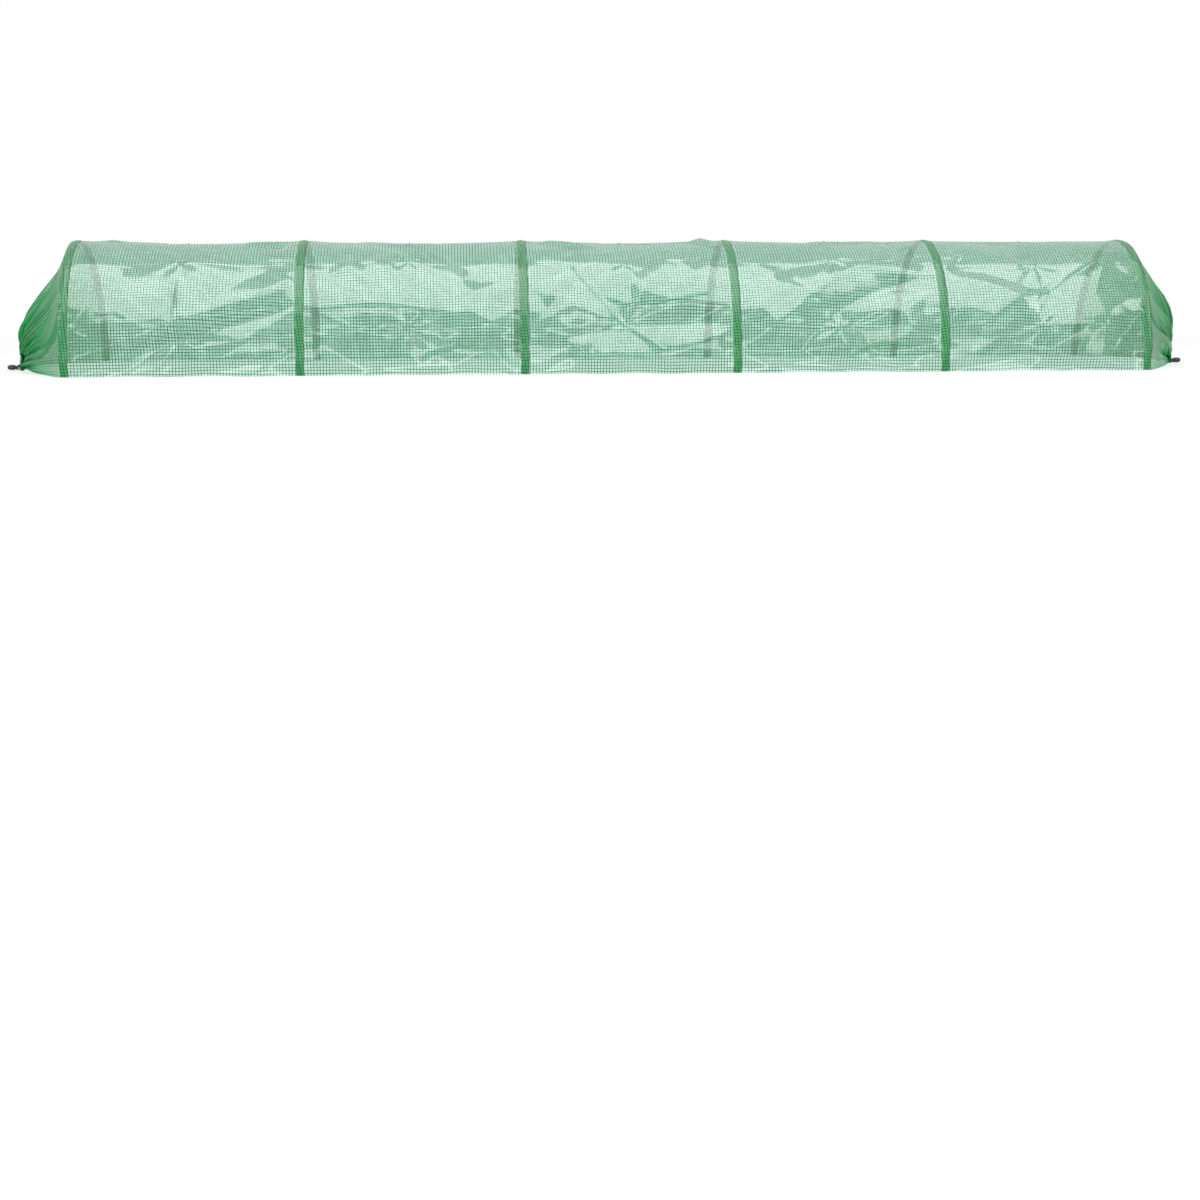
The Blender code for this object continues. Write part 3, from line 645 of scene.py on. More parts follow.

# %% [markdown]
# ## Net film
# The cover is a net of flat green threads sealed between two skins of clear polythene. Every film mesh
# carries an attribute, net: where a point lies on the flat sheet in millimetres, and how far the film
# is crowded there, from 0 for one skin to 1 for a tight gather. On the sleeves towards their feet, in
# the hollows of the skirts' folds and along the hard creases, that crowding also holds painted shade.
# The threads are drawn from that, so they bend, fan out and crowd together exactly as the sheet is
# folded, with no picture texture. First comes the grid of threads alone. All its sizes are in
# millimetres, as the attribute is. The threads wander by up to 3 mm over lengths of about 50 mm,
# because no real net is laid dead straight.

# %% Threads of the net
NET_PITCH = 8.4
THREAD_WIDTH = 1.9
THREAD_EDGE = 0.15
THREAD_WANDER, WANDER_LENGTH = 3.0, 50.0


def blend_colours(tree, share, first, second):
    """A mix of two colours, each a hex value or a socket."""
    first = linear(first) if isinstance(first, str) else first
    second = linear(second) if isinstance(second, str) else second
    return add_node(tree, "ShaderNodeMix", {"data_type": "RGBA"}, i0=share, i6=first, i7=second).outputs[2]


film, tree, body = new_material("net film", IOR=1.5, Roughness=0.6, Specular_IOR_Level=0.1)
net = add_node(tree, "ShaderNodeAttribute", {"attribute_name": "net"}).outputs["Vector"]
crowd_and_shade = add_node(tree, "ShaderNodeSeparateXYZ", i0=net).outputs[2]
wander = add_node(tree, "ShaderNodeTexNoise", Vector=net, Scale=1 / WANDER_LENGTH, Detail=2.0)
shift = add_node(
    tree, "ShaderNodeVectorMath", {"operation": "SCALE"}, i0=wander.outputs["Color"], Scale=THREAD_WANDER
)
laid = add_node(tree, "ShaderNodeVectorMath", {"operation": "ADD"}, i0=net, i1=shift.outputs[0]).outputs[0]
axes = add_node(tree, "ShaderNodeSeparateXYZ", i0=laid)
lines = []
for axis in (0, 1):
    away = add_node(
        tree, "ShaderNodeMath", {"operation": "PINGPONG"}, i0=axes.outputs[axis], i1=NET_PITCH / 2
    )
    lines.append(
        add_node(
            tree, "ShaderNodeMapRange", {"interpolation_type": "SMOOTHSTEP"}, i0=away.outputs[0],
            i1=THREAD_WIDTH / 2 - THREAD_EDGE, i2=THREAD_WIDTH / 2 + THREAD_EDGE, i3=1.0, i4=0.0,
        ).outputs[0]
    )
threads = add_node(tree, "ShaderNodeMath", {"operation": "MAXIMUM"}, i0=lines[0], i1=lines[1]).outputs[0]
print("net of", NET_PITCH, "mm cells and", THREAD_WIDTH, "mm threads")

# %% [markdown]
# ## Tint, haze and yarn
# Between the threads the film lets a green tint of what is behind it show, under a thin milky haze; a
# thread is dark green and nearly opaque. The haze comes and goes in patches of about 80 mm, and the
# yarn has flecks under 2 mm long. Crowded film is many layers deep, so its haze thickens, its tint and
# its threads turn a stronger green, and light comes through it as through a leaf.

# %% How solid the film is, and its colours
HAZE, PACKED_HAZE, THREAD_SOLID = 0.24, 0.68, 0.96
VIVID_FROM = 2.5
LEAF_LIGHT = 0.45
MILK_PATCH, YARN_FLECK = 1000 / 12, 5 / 3
milk = add_node(tree, "ShaderNodeTexNoise", Vector=net, Scale=1 / MILK_PATCH, Detail=3.0).outputs["Fac"]
hazy = add_node(tree, "ShaderNodeMapRange", i0=milk, i1=0.3, i2=0.7, i3=HAZE * 0.7, i4=HAZE * 1.3)
# Crowding thickens the haze. Where the crowding holds painted shade, this darker, greener film is painted
# shade.
layers_and_shade = add_node(tree, "ShaderNodeMath", {"operation": "MULTIPLY"}, i0=crowd_and_shade, i1=crowd_and_shade).outputs[0]
thick = add_node(
    tree, "ShaderNodeMath", {"operation": "MULTIPLY_ADD"}, i0=layers_and_shade, i1=PACKED_HAZE, i2=hazy.outputs[0]
)
solid = add_node(
    tree, "ShaderNodeMix", {"data_type": "FLOAT"}, i0=threads, i2=thick.outputs[0], i3=THREAD_SOLID
)
yarn = add_node(tree, "ShaderNodeTexNoise", Vector=net, Scale=1 / YARN_FLECK, Detail=2.0).outputs["Fac"]
vivid = add_node(
    tree, "ShaderNodeMath", {"operation": "MULTIPLY", "use_clamp": True}, i0=crowd_and_shade, i1=VIVID_FROM
).outputs[0]
dark_yarn = blend_colours(tree, vivid, "034a38", "035a2e")
light_yarn = blend_colours(tree, vivid, "086a4c", "0b8044")
thread_colour = blend_colours(tree, yarn, dark_yarn, light_yarn)
haze_colour = blend_colours(tree, crowd_and_shade, "cdf8e2", "34c070")
pigment = blend_colours(tree, threads, haze_colour, thread_colour)
tree.links.new(pigment, body.inputs["Base Color"])
print("haze covers", HAZE, "of a single skin")

# %% [markdown]
# ## Creases and gloss
# Packed film keeps fine creases, about 45 mm apart, and its threads stand up a little under the skin:
# both are relief in the material, because they are far thinner than the mesh is fine. Polythene shines,
# more so at a slant, and a tight gather breaks its reflections up.

# %% Relief, see-through and shine
CREASE_RELIEF, THREAD_RELIEF = 3.0, 0.12
CREASE_CELL = 1000 / 22
creases = add_node(
    tree, "ShaderNodeTexVoronoi", {"feature": "SMOOTH_F1"},
    Vector=laid, Scale=1 / CREASE_CELL, Smoothness=0.25, Randomness=1.0,
)
fine = add_node(tree, "ShaderNodeMath", {"operation": "MULTIPLY"}, i0=threads, i1=THREAD_RELIEF)
height = add_node(
    tree, "ShaderNodeMath", {"operation": "MULTIPLY_ADD"},
    i0=creases.outputs["Distance"], i1=CREASE_RELIEF, i2=fine.outputs[0],
)
bump = add_node(tree, "ShaderNodeBump", Strength=0.45, Distance=0.3 * MM, Height=height.outputs[0])
relief = bump.outputs["Normal"]
tree.links.new(relief, body.inputs["Normal"])

clear = add_node(tree, "ShaderNodeBsdfTransparent", Color=blend_colours(tree, crowd_and_shade, "d2f6e6", "34b468"))
through = add_node(tree, "ShaderNodeBsdfTranslucent", Color=pigment)
leaf = add_node(tree, "ShaderNodeMixShader", i0=LEAF_LIGHT, i1=body.outputs[0], i2=through.outputs[0])
inside = add_node(tree, "ShaderNodeMixShader", i0=solid.outputs[0], i1=clear.outputs[0], i2=leaf.outputs[0])
slant = add_node(tree, "ShaderNodeLayerWeight", Blend=0.5, Normal=relief)
steep = add_node(tree, "ShaderNodeMath", {"operation": "POWER"}, i0=slant.outputs["Facing"], i1=2.0)
bright = add_node(tree, "ShaderNodeMapRange", i0=steep.outputs[0], i1=0.0, i2=1.0, i3=0.09, i4=0.5)
broken = add_node(tree, "ShaderNodeMapRange", i0=crowd_and_shade, i1=0.0, i2=1.0, i3=1.0, i4=0.1)
glance = add_node(
    tree, "ShaderNodeMath", {"operation": "MULTIPLY"}, i0=bright.outputs[0], i1=broken.outputs[0]
)
rough = add_node(tree, "ShaderNodeMapRange", i0=milk, i1=0.3, i2=0.7, i3=0.09, i4=0.16)
skin = add_node(tree, "ShaderNodeBsdfAnisotropic", Roughness=rough.outputs[0], Normal=relief)
glossed = add_node(
    tree, "ShaderNodeMixShader", i0=glance.outputs[0], i1=inside.outputs[0], i2=skin.outputs[0]
)
tree.links.new(glossed.outputs[0], tree.nodes["Material Output"].inputs["Surface"])
print("the film's material has", len(tree.nodes), "nodes")

# %% [markdown]
# ## A mesh of film
# A piece of film is a grid of points, one skin thick, as the real sheet is. Thickness would only double
# the threads. The attribute with each point's place on the flat sheet is stored with the mesh.

# %% Lay a grid of points as film
def film_object(name, points, net, crowd_and_shade):
    """One skin of film over a grid of points. net is each point's place on the flat sheet, in metres."""
    rows, columns = points.shape[:2]
    mesh = bpy.data.meshes.new(name)
    mesh.from_pydata(points.reshape(-1, 3).tolist(), [], grid_faces(rows, columns, False))
    flat = np.zeros((rows, columns, 3), np.float32)
    flat[..., :2] = net / MM
    # The third value is the crowding; on sleeves, skirt hollows and hard creases it also holds painted
    # shade.
    flat[..., 2] = crowd_and_shade
    mesh.attributes.new("net", "FLOAT_VECTOR", "POINT").data.foreach_set("vector", flat.ravel())
    mesh.materials.append(film)
    mesh.shade_smooth()
    return new_object(name, mesh)


print("film is one skin, attribute net in millimetres")

# %% [markdown]
# ## Folds of the five bays
# The cover was folded for its box, so each bay is a set of nearly flat facets between sharp lines:
# slack that falls in a V from the two hoops, bands that run from hoop to hoop, and stars where two
# packing creases cross. A cloth simulation gives soft waves, not these facets. So each bay's lines are
# listed: the share of the way to the next hoop, the share of the way from hem to crown, and how far the
# film stands out there in millimetres. A Delaunay triangulation that keeps the lines turns them into
# facets.

# %% List the fold lines
FOLD_LINES = (
    (
        ((0, 0.93, 0), (0.27, 0.66, -5), (0.52, 0.40, 7), (0.78, 0.55, -3), (1, 0.66, 0)),
        ((0.03, 0.10, 2), (0.5, 0.29, 9), (0.97, 0.50, 6), (1, 0.52, 0)),
        ((0.10, 0.05, -2), (0.5, 0.20, -9), (1, 0.37, 0)),
        ((0.66, 0.09, 5), (1, 0.24, 0)),
        ((0.68, 0.04, -4), (1, 0.14, 0)),
        ((0.22, 0, -5), (0.36, 0, 5), (0.52, 0, -3), (0.8, 0, 4)),
    ),
    (
        ((0, 0.95, 0), (0.10, 0.84, -2), (0.45, 0.45, 7), (0.75, 0.54, -4), (1, 0.64, 0)),
        ((0, 0.50, 0), (0.30, 0.38, 8), (0.60, 0.35, 4), (0.78, 0.33, 7), (1, 0.38, 0)),
        ((0, 0.35, 0), (0.35, 0.22, -8), (0.62, 0.17, -3), (0.85, 0.13, -6), (1, 0.15, 0)),
        ((0.78, 0.24, 3), (0.86, 0.27, 8), (0.95, 0.25, 3)),
        ((0.3, 0, 4), (0.6, 0, -4), (0.85, 0, 4)),
    ),
    (
        ((0, 0.80, 0), (0.10, 0.72, 6), (0.5, 0.58, -4), (0.72, 0.70, 6), (1, 0.85, 0)),
        ((0.10, 0.72, 6), (0.22, 0.60, 3), (0.48, 0.27, -10)),
        ((0, 0.42, 0), (0.22, 0.36, 8), (0.48, 0.27, -10), (0.75, 0.38, 8), (1, 0.52, 0)),
        ((0, 0.26, 0), (0.18, 0.20, -4), (0.48, 0.27, -10), (0.78, 0.27, -6), (1, 0.38, 0)),
        ((0.48, 0.27, -10), (0.80, 0.16, 8), (1, 0.24, 0)),
        ((0.68, 0, 5), (0.60, 0.10, 5), (0.48, 0.27, -10), (0.56, 0.45, 6), (0.5, 0.58, -4)),
        ((0.22, 0, -4), (0.30, 0.10, 7), (0.48, 0.27, -10)),
    ),
    (
        ((0, 0.93, 0), (0.35, 0.64, -4), (0.47, 0.53, 8), (0.60, 0.60, 9), (1, 0.56, 0)),
        ((0, 0.44, 0), (0.17, 0.26, 9), (0.48, 0.34, -3), (0.47, 0.53, 8)),
        ((0.60, 0.60, 9), (0.75, 0.48, -7), (1, 0.46, 0)),
        ((0.48, 0.34, -3), (0.80, 0.33, 6), (1, 0.36, 0), (0.85, 0.22, 7), (0.68, 0.10, -5)),
        ((0, 0.12, 0), (0.3, 0.12, -6), (0.48, 0.15, 4), (0.68, 0.10, -5), (1, 0.16, 0)),
        ((0.2, 0, 4), (0.55, 0, -4), (0.8, 0, 3)),
    ),
    (
        ((0, 0.80, 0), (0.20, 0.58, -4), (0.36, 0.42, 7), (0.53, 0.45, -8), (0.90, 0.80, 2), (1, 0.88, 0)),
        ((0, 0.60, 0), (0.36, 0.42, 7), (0.45, 0.28, -6), (0.15, 0.22, 5), (0, 0.30, 0)),
        ((0.53, 0.45, -8), (0.75, 0.43, 6), (1, 0.55, 0)),
        ((0.62, 0.02, -3), (0.80, 0.28, 9), (1, 0.48, 0)),
        ((0.78, 0.02, 3), (0.90, 0.20, -6), (1, 0.34, 0)),
        ((0.45, 0.28, -6), (0.62, 0.20, 6), (0.62, 0.02, -3)),
        ((0.15, 0, 4), (0.4, 0, -4)),
    ),
)
CROWN_LINE = (
    (0, 1, 0), (0.05, 1, -1), (0.12, 1, -2), (0.25, 1, -3), (0.4, 1, -4),
    (0.6, 1, -4), (0.75, 1, -3), (0.88, 1, -2), (0.95, 1, -1), (1, 1, 0),
)
FOLD_DEPTH = 1.9
print("fold lines:", sum(len(lines) for lines in FOLD_LINES))

# %% [markdown]
# ## From fold lines to facets
# One side of a bay is a flat panel from hem to crown. Its fold lines go into a Delaunay triangulation
# that keeps them as edges. Inside a triangle the height changes evenly, which makes flat facets with
# sharp folds between them, and a light smoothing then rounds each fold over a few millimetres.

# %% Heights of the facets
def facet_heights(lines, along, up, length, crown=CROWN_LINE):
    """Heights in millimetres at points of one side of a bay, flat between the fold lines."""
    rim = [((x, s / 4, 0), (x, (s + 1) / 4, 0)) for x in (0, 1) for s in range(4)]
    hem = [((0, 0, 0), (0.02, 0, 0)), ((0.98, 0, 0), (1, 0, 0))]
    points, heights, edges = [], [], []
    for fold in [*lines, crown, *rim, *hem]:
        for place, (x, s, height) in enumerate(fold):
            points.append(Vector((x * length, s * GIRTH / 2)))
            heights.append(height)
            if place:
                edges.append((len(points) - 2, len(points) - 1))
    corners, _, triangles, sources, *_ = delaunay_2d_cdt(points, edges, [], 0, 1e-5)
    given = np.array([[p.x, p.y] for p in points])
    tops = [
        heights[source[0]] if source else heights[int(np.argmin(np.hypot(*(given - np.array(corner)).T)))]
        for corner, source in zip(corners, sources)
    ]
    result = np.zeros(along.shape)
    best = np.full(along.shape, -np.inf)
    for triangle in triangles:
        (ax, ay), (bx, by), (cx, cy) = (corners[index] for index in triangle)
        ta, tb, tc = (tops[index] for index in triangle)
        area = (bx - ax) * (cy - ay) - (cx - ax) * (by - ay)
        if abs(area) < 1e-12:
            continue
        wb = ((along - ax) * (cy - ay) - (cx - ax) * (up - ay)) / area
        wc = ((bx - ax) * (up - ay) - (along - ax) * (by - ay)) / area
        inside = np.minimum(np.minimum(1 - wb - wc, wb), wc)
        value = ta + wb * (tb - ta) + wc * (tc - ta)
        closer = inside > best
        result[closer] = value[closer]
        best[closer] = inside[closer]
    return result


def softened(grid, passes):
    """The grid with each fold rounded over a few millimetres."""
    for _ in range(passes):
        for axis in (0, 1):
            moved = np.moveaxis(grid, axis, 0)
            inner = (moved[:-2] + 2 * moved[1:-1] + moved[2:]) / 4
            moved[1:-1] = inner
            grid = np.moveaxis(moved, 0, axis)
    return grid


def ridge(distance, width):
    return np.exp(-((distance / width) ** 2))


middle = facet_heights(FOLD_LINES[0], np.array([0.3]), np.array([0.2]), hoop_x[1] - hoop_x[0])
print("height at one place of the first bay:", round(float(middle[0]), 1), "mm")

# %% [markdown]
# ## Dents and hard creases
# Between the large folds the film has small facets at random, stronger near the seams. A few lines are
# hard creases, where the cover was pressed flat in its pack: the film stands out there and shows
# darker, partly from its doubled film and partly as painted shade in the crease, so they raise both
# the height and the crowding.

# %% Small facets and hard creases
DENTS, DENT_DEPTH = 44, 2.3
CREASE_WIDTH = 3.2
CROWN_SEAM = ((0, 1, 0), (1, 1, 0))
SHARP_CREASES = (
    ((0.13, 0.33), (0.21, 0.34), (0.26, 0.31)),
    ((0.55, 0.10), (0.70, 0.16), (0.84, 0.14)),
    ((0.22, 0.60), (0.44, 0.29), (0.66, 0.12)),
    ((0.39, 0.43), (0.47, 0.40), (0.62, 0.37), (0.88, 0.44)),
    ((0.46, 0.40), (0.86, 0.72)),
)
CREASED = {1: (0,), 2: (1,), 3: (2, 3), 4: (1,), 5: (4,)}


def dent_heights(seed, share_x, up, length):
    """Small facets between random points, stronger towards the seams, where the film is pulled."""
    rng = np.random.default_rng(seed)
    places_x, places_up, depths = rng.random(DENTS), rng.random(DENTS), rng.normal(0, DENT_DEPTH, DENTS)
    spots = [((x, s, depth),) for x, s, depth in zip(places_x, places_up, depths)]
    calm = np.minimum(1, 12 * share_x * (1 - share_x)) * (1.3 - 2.4 * share_x * (1 - share_x))
    return facet_heights(spots, share_x * length, up * GIRTH / 2, length, crown=CROWN_SEAM) * calm


def sharp_creases(number, share_x, up, length):
    """1 on the hard creases of one side of a bay, falling to 0 beside them."""
    strength = np.zeros(share_x.shape)
    for crease in (SHARP_CREASES[index] for index in CREASED[number]):
        for (x0, s0), (x1, s1) in zip(crease, crease[1:]):
            run_x, run_s = (x1 - x0) * length, (s1 - s0) * GIRTH / 2
            off_x, off_s = (share_x - x0) * length, (up - s0) * GIRTH / 2
            t = np.clip((off_x * run_x + off_s * run_s) / (run_x**2 + run_s**2), 0, 1)
            away = np.hypot(off_x - t * run_x, off_s - t * run_s) / MM
            strength = np.maximum(strength, ridge(away, CREASE_WIDTH))
    return strength


print("hard creases:", sum(len(lines) for lines in CREASED.values()))

# %% [markdown]
# ## How a bay lies
# To the facets come the two packing creases, one along and one across, small stars where they cross,
# and short puckers beside each seam where the sleeve gathers the film. The far side takes another bay's
# folds, turned round, because the photograph doesn't show it.

# %% Height of a bay's film
CREASE_ACROSS = 0.485
CREASE_ALONG = (0.25, 0.66)
HARD_CREASE_LIFT = 2.0
PACKING_CREASE_WIDTH = 5
STAR_RAYS, STAR_REACH = 7, 55
PUCKER_HEIGHT, PUCKER_REACH = 0.9, 22


def bay_heights(number, share_x, share_v, length):
    """How far the film stands out of the hoops' outline, in metres."""
    near = share_v <= 0.5
    up = np.where(near, 2 * share_v, 2 - 2 * share_v)
    near_lines = FOLD_LINES[number - 1]
    far_lines = FOLD_LINES[(number + 1) % 5]
    near_side = facet_heights(near_lines, share_x * length, up * GIRTH / 2, length)
    far_side = facet_heights(far_lines, (1 - share_x) * length, up * GIRTH / 2, length)
    near_dents = dent_heights(number, share_x, up, length)
    far_dents = dent_heights(number + 5, share_x, up, length)
    folds = np.where(near, near_side + near_dents, far_side + far_dents)
    height = FOLD_DEPTH * softened(folds, 1)
    slack = 4 * share_x * (1 - share_x)
    cross = (share_x - CREASE_ACROSS) * length / MM
    height += 2.0 * ridge(cross, PACKING_CREASE_WIDTH) * np.sin(math.pi * share_v)
    for place in CREASE_ALONG:
        lift = (up - place) * GIRTH / 2 / MM
        height += 1.6 * ridge(lift, PACKING_CREASE_WIDTH) * slack**0.5
        away = np.hypot(cross, lift)
        turn = np.arctan2(lift, cross)
        star = 2.2 * slack * np.exp(-away / STAR_REACH)
        height += star * np.cos(STAR_RAYS * turn + number) * np.minimum(1, away / 12)
    run = share_v * GIRTH / MM
    for edge, seed in ((share_x, 1.7 * number), (1 - share_x, 0.9 + 1.7 * number)):
        from_seam = edge * length / MM
        pucker = np.sin(run / 9 + 2.3 * np.sin(run / 61 + seed) + seed) + 0.6 * np.sin(run / 4.7 + 3 * seed)
        gathered = PUCKER_HEIGHT * pucker * np.exp(-from_seam / PUCKER_REACH)
        height += gathered * np.minimum(1, from_seam / 5)
    creased = np.where(near, sharp_creases(number, share_x, up, length), 0)
    return (height + HARD_CREASE_LIFT * creased) * MM, creased


print("packing creases at", CREASE_ALONG, "of the way up")

# %% [markdown]
# ## The bays
# Every bay hangs between two sleeves. Its grid follows the hoops' outline and moves in or out by the
# height. The hem lifts off the ground a little between the feet.

# %% Lay the five bays
BAY_COLUMNS, BAY_ROWS = 120, 210
# The hard creases' darkening: partly their doubled film, partly painted shade in the crease.
CREASE_LAYERS_AND_SHADE = 0.5
bay_area = {}
for number in range(1, 6):
    start, end = hoop_x[number - 1] + SHEET_START, hoop_x[number] - SHEET_START
    length = end - start
    columns, rows = np.linspace(0, 1, BAY_COLUMNS), np.linspace(0, 1, BAY_ROWS)
    share_x, share_v = np.meshgrid(columns, rows, indexing="ij")
    out, creased = bay_heights(number, share_x, share_v, length)
    y, z, out_y, out_z = hoop_at(share_v)
    hem_lift = 3 * MM * (1 - np.minimum(1, np.minimum(share_v, 1 - share_v) * GIRTH / 0.05))
    ripple = np.sin(share_x * 9 + number * 2.1) ** 2 * 4 * share_x * (1 - share_x)
    z = np.maximum(z + out_z * out, 0.4 * MM) + hem_lift * ripple
    points = np.stack([start + share_x * length, y + out_y * out, z], axis=-1)
    net = np.stack([share_x * length + start + 3, share_v * GIRTH], axis=-1)
    bay = film_object(f"bay_{number}", points, net, CREASE_LAYERS_AND_SHADE * creased)
    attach(bay, f"hoop_{number}")
    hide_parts(f"cover_bay_{number}")
    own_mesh(bay)
    bay_area[number] = round(length * GIRTH, 3)
print("flat area of each bay in square metres:", bay_area)

# %% [markdown]
# ## Sleeves
# A strip of the same film is sewn round each hoop as a flat pocket. Its layers make a strong green band
# that has blotches where the layers' threads cross, and it is made darkest near the feet: that is painted
# shade, as the lower legs catch less light than the upper part. The pocket is a flattened tube: tight
# over the wire in the middle, flat at its two seams, and puckered by the stitches.

# %% Sew the six sleeves
SLEEVE_ROWS = 420
MOTTLE = 9.5
SLEEVE_HALF = 12.0
SLEEVE_PROFILE = (
    (-SLEEVE_HALF, 0.0), (-7.5, 0.9), (-3.4, 2.1), (0.0, 2.75), (3.4, 2.1), (7.5, 0.9), (SLEEVE_HALF, 0.0),
)


def sleeve_points(number, x):
    share_v = np.linspace(0, 1, SLEEVE_ROWS)
    y, z, out_y, out_z = hoop_at(share_v)
    run = share_v * GIRTH / MM
    ring = [*SLEEVE_PROFILE, *((across, -lift) for across, lift in reversed(SLEEVE_PROFILE[1:-1]))]
    ring.append(ring[0])
    rows, flat, crowd_and_shade = [], [], []
    girth = 0.0
    for place, (across, lift) in enumerate(ring):
        if place:
            girth += math.dist(ring[place - 1], ring[place])
        loose = abs(across) / SLEEVE_HALF
        stitches = np.sin(run / 7.3 + number + place * 0.4) + 0.7 * np.sin(run / 3.1 + 2 * number)
        pucker = loose * stitches * 0.55
        along = across + 0.5 * loose * np.sin(run / 11 + number * 1.3)
        out = (lift + pucker * (1 if lift >= 0 else -1) * (0.4 + 0.6 * (abs(lift) < 1))) * MM
        foot = np.minimum(1, np.minimum(run, GIRTH / MM - run) / 6)
        up = np.maximum(z + out_z * out, 1.2 * MM * (1 - foot))
        rows.append(np.stack([x + along * MM, y + out_y * out, up], axis=1))
        flat.append(np.stack([girth * MM + 0.11 * share_v * GIRTH, 1.04 * share_v * GIRTH], axis=1))
        blotch = np.sin(2 * math.pi * run / MOTTLE + 2.6 * np.sin(run / 37 + number))
        blotch *= math.cos(math.pi * across / 8)
        # Painted shade: the band is made more crowded, so darker, towards the feet. More crowding over the
        # wire than at the seams is the doubled layers.
        layers_and_shade = (0.44 + 0.46 * np.abs(2 * share_v - 1) ** 1.3) * (1 - 0.3 * loose**2)
        crowd_and_shade.append(np.clip(layers_and_shade + 0.2 * blotch, 0, 1))
    return np.stack(rows), np.stack(flat), np.stack(crowd_and_shade), girth * MM


for number, x in zip(HOOPS, hoop_x):
    points, net, crowd_and_shade, wide = sleeve_points(number, x)
    sleeve = film_object(f"sleeve_{number}", points, net, crowd_and_shade)
    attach(sleeve, f"hoop_{number}")
    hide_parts(f"hoop_sleeve_{number}")
print("each sleeve is a strip", round(wide * 1000), "mm wide and", round(GIRTH * 1000), "mm long")

# %% [markdown]
# ## The mouth
# Beyond the last hoop the film is drawn in from a metre of hoop to a mouth a hand wide. The middle line
# of the gathered hem runs up from one toe, over the top and down to the other, with both toes turned
# outwards. A smooth curve through a few points of one half, mirrored, gives it.

# %% Shape the mouth's line
MOUTH_OUTLINE = (
    (0.0, 0.0, 75.0), (0.0, 17.0, 71.3), (0.0, 31.2, 60.8), (0.0, 38.9, 45.0), (0.0, 40.5, 27.8),
    (0.6, 39.1, 16.5), (2.2, 37.5, 10.1), (5.0, 36.5, 7.7), (7.5, 36.4, 7.5), (10.0, 36.4, 7.5),
)
half = np.array(MOUTH_OUTLINE)
whole = np.vstack([(half * (1, -1, 1))[::-1], half[1:]])
mouth_line = smooth_line(whole * MM, 1.0 * MM)
mouth_share = np.linspace(0, 1, len(mouth_line))


def mouth_at(share):
    """Outward, sideways and up on the middle line of the gathered hem, by share of its length."""
    return np.stack([np.interp(share, mouth_share, mouth_line[:, axis]) for axis in range(3)], axis=-1)


print("the gathered hem is", round(line_length(mouth_line) * 1000), "mm long")

# %% [markdown]
# ## End skirts
# The film falls into a fan: a few wide folds that start at the hoop, more between them half-way down,
# and close small pleats at the mouth. The skirt is the straight surface between hoop and mouth, bulged
# a little, with three sizes of fold on it, and its film is more crowded towards the mouth. The hollows
# of the folds are made more crowded, so darker, as painted shade.

# %% Pleat a skirt
SKIRT_AROUND, SKIRT_ALONG = 420, 64
WIDE_FOLDS, MIDDLE_FOLDS, NARROW_FOLDS = 8, 21, 47
WIDE_DEPTH, MIDDLE_DEPTH, NARROW_DEPTH = 24, 8, 3.6


def wave(phase):
    """A fold with a narrow top and a wide hollow, from -1 to 1."""
    saw = np.abs(2 * (phase - np.floor(phase)) - 1)
    return 2 * saw**1.4 - 1


def step_up(value):
    t = np.clip(value, 0, 1)
    return t * t * (3 - 2 * t)


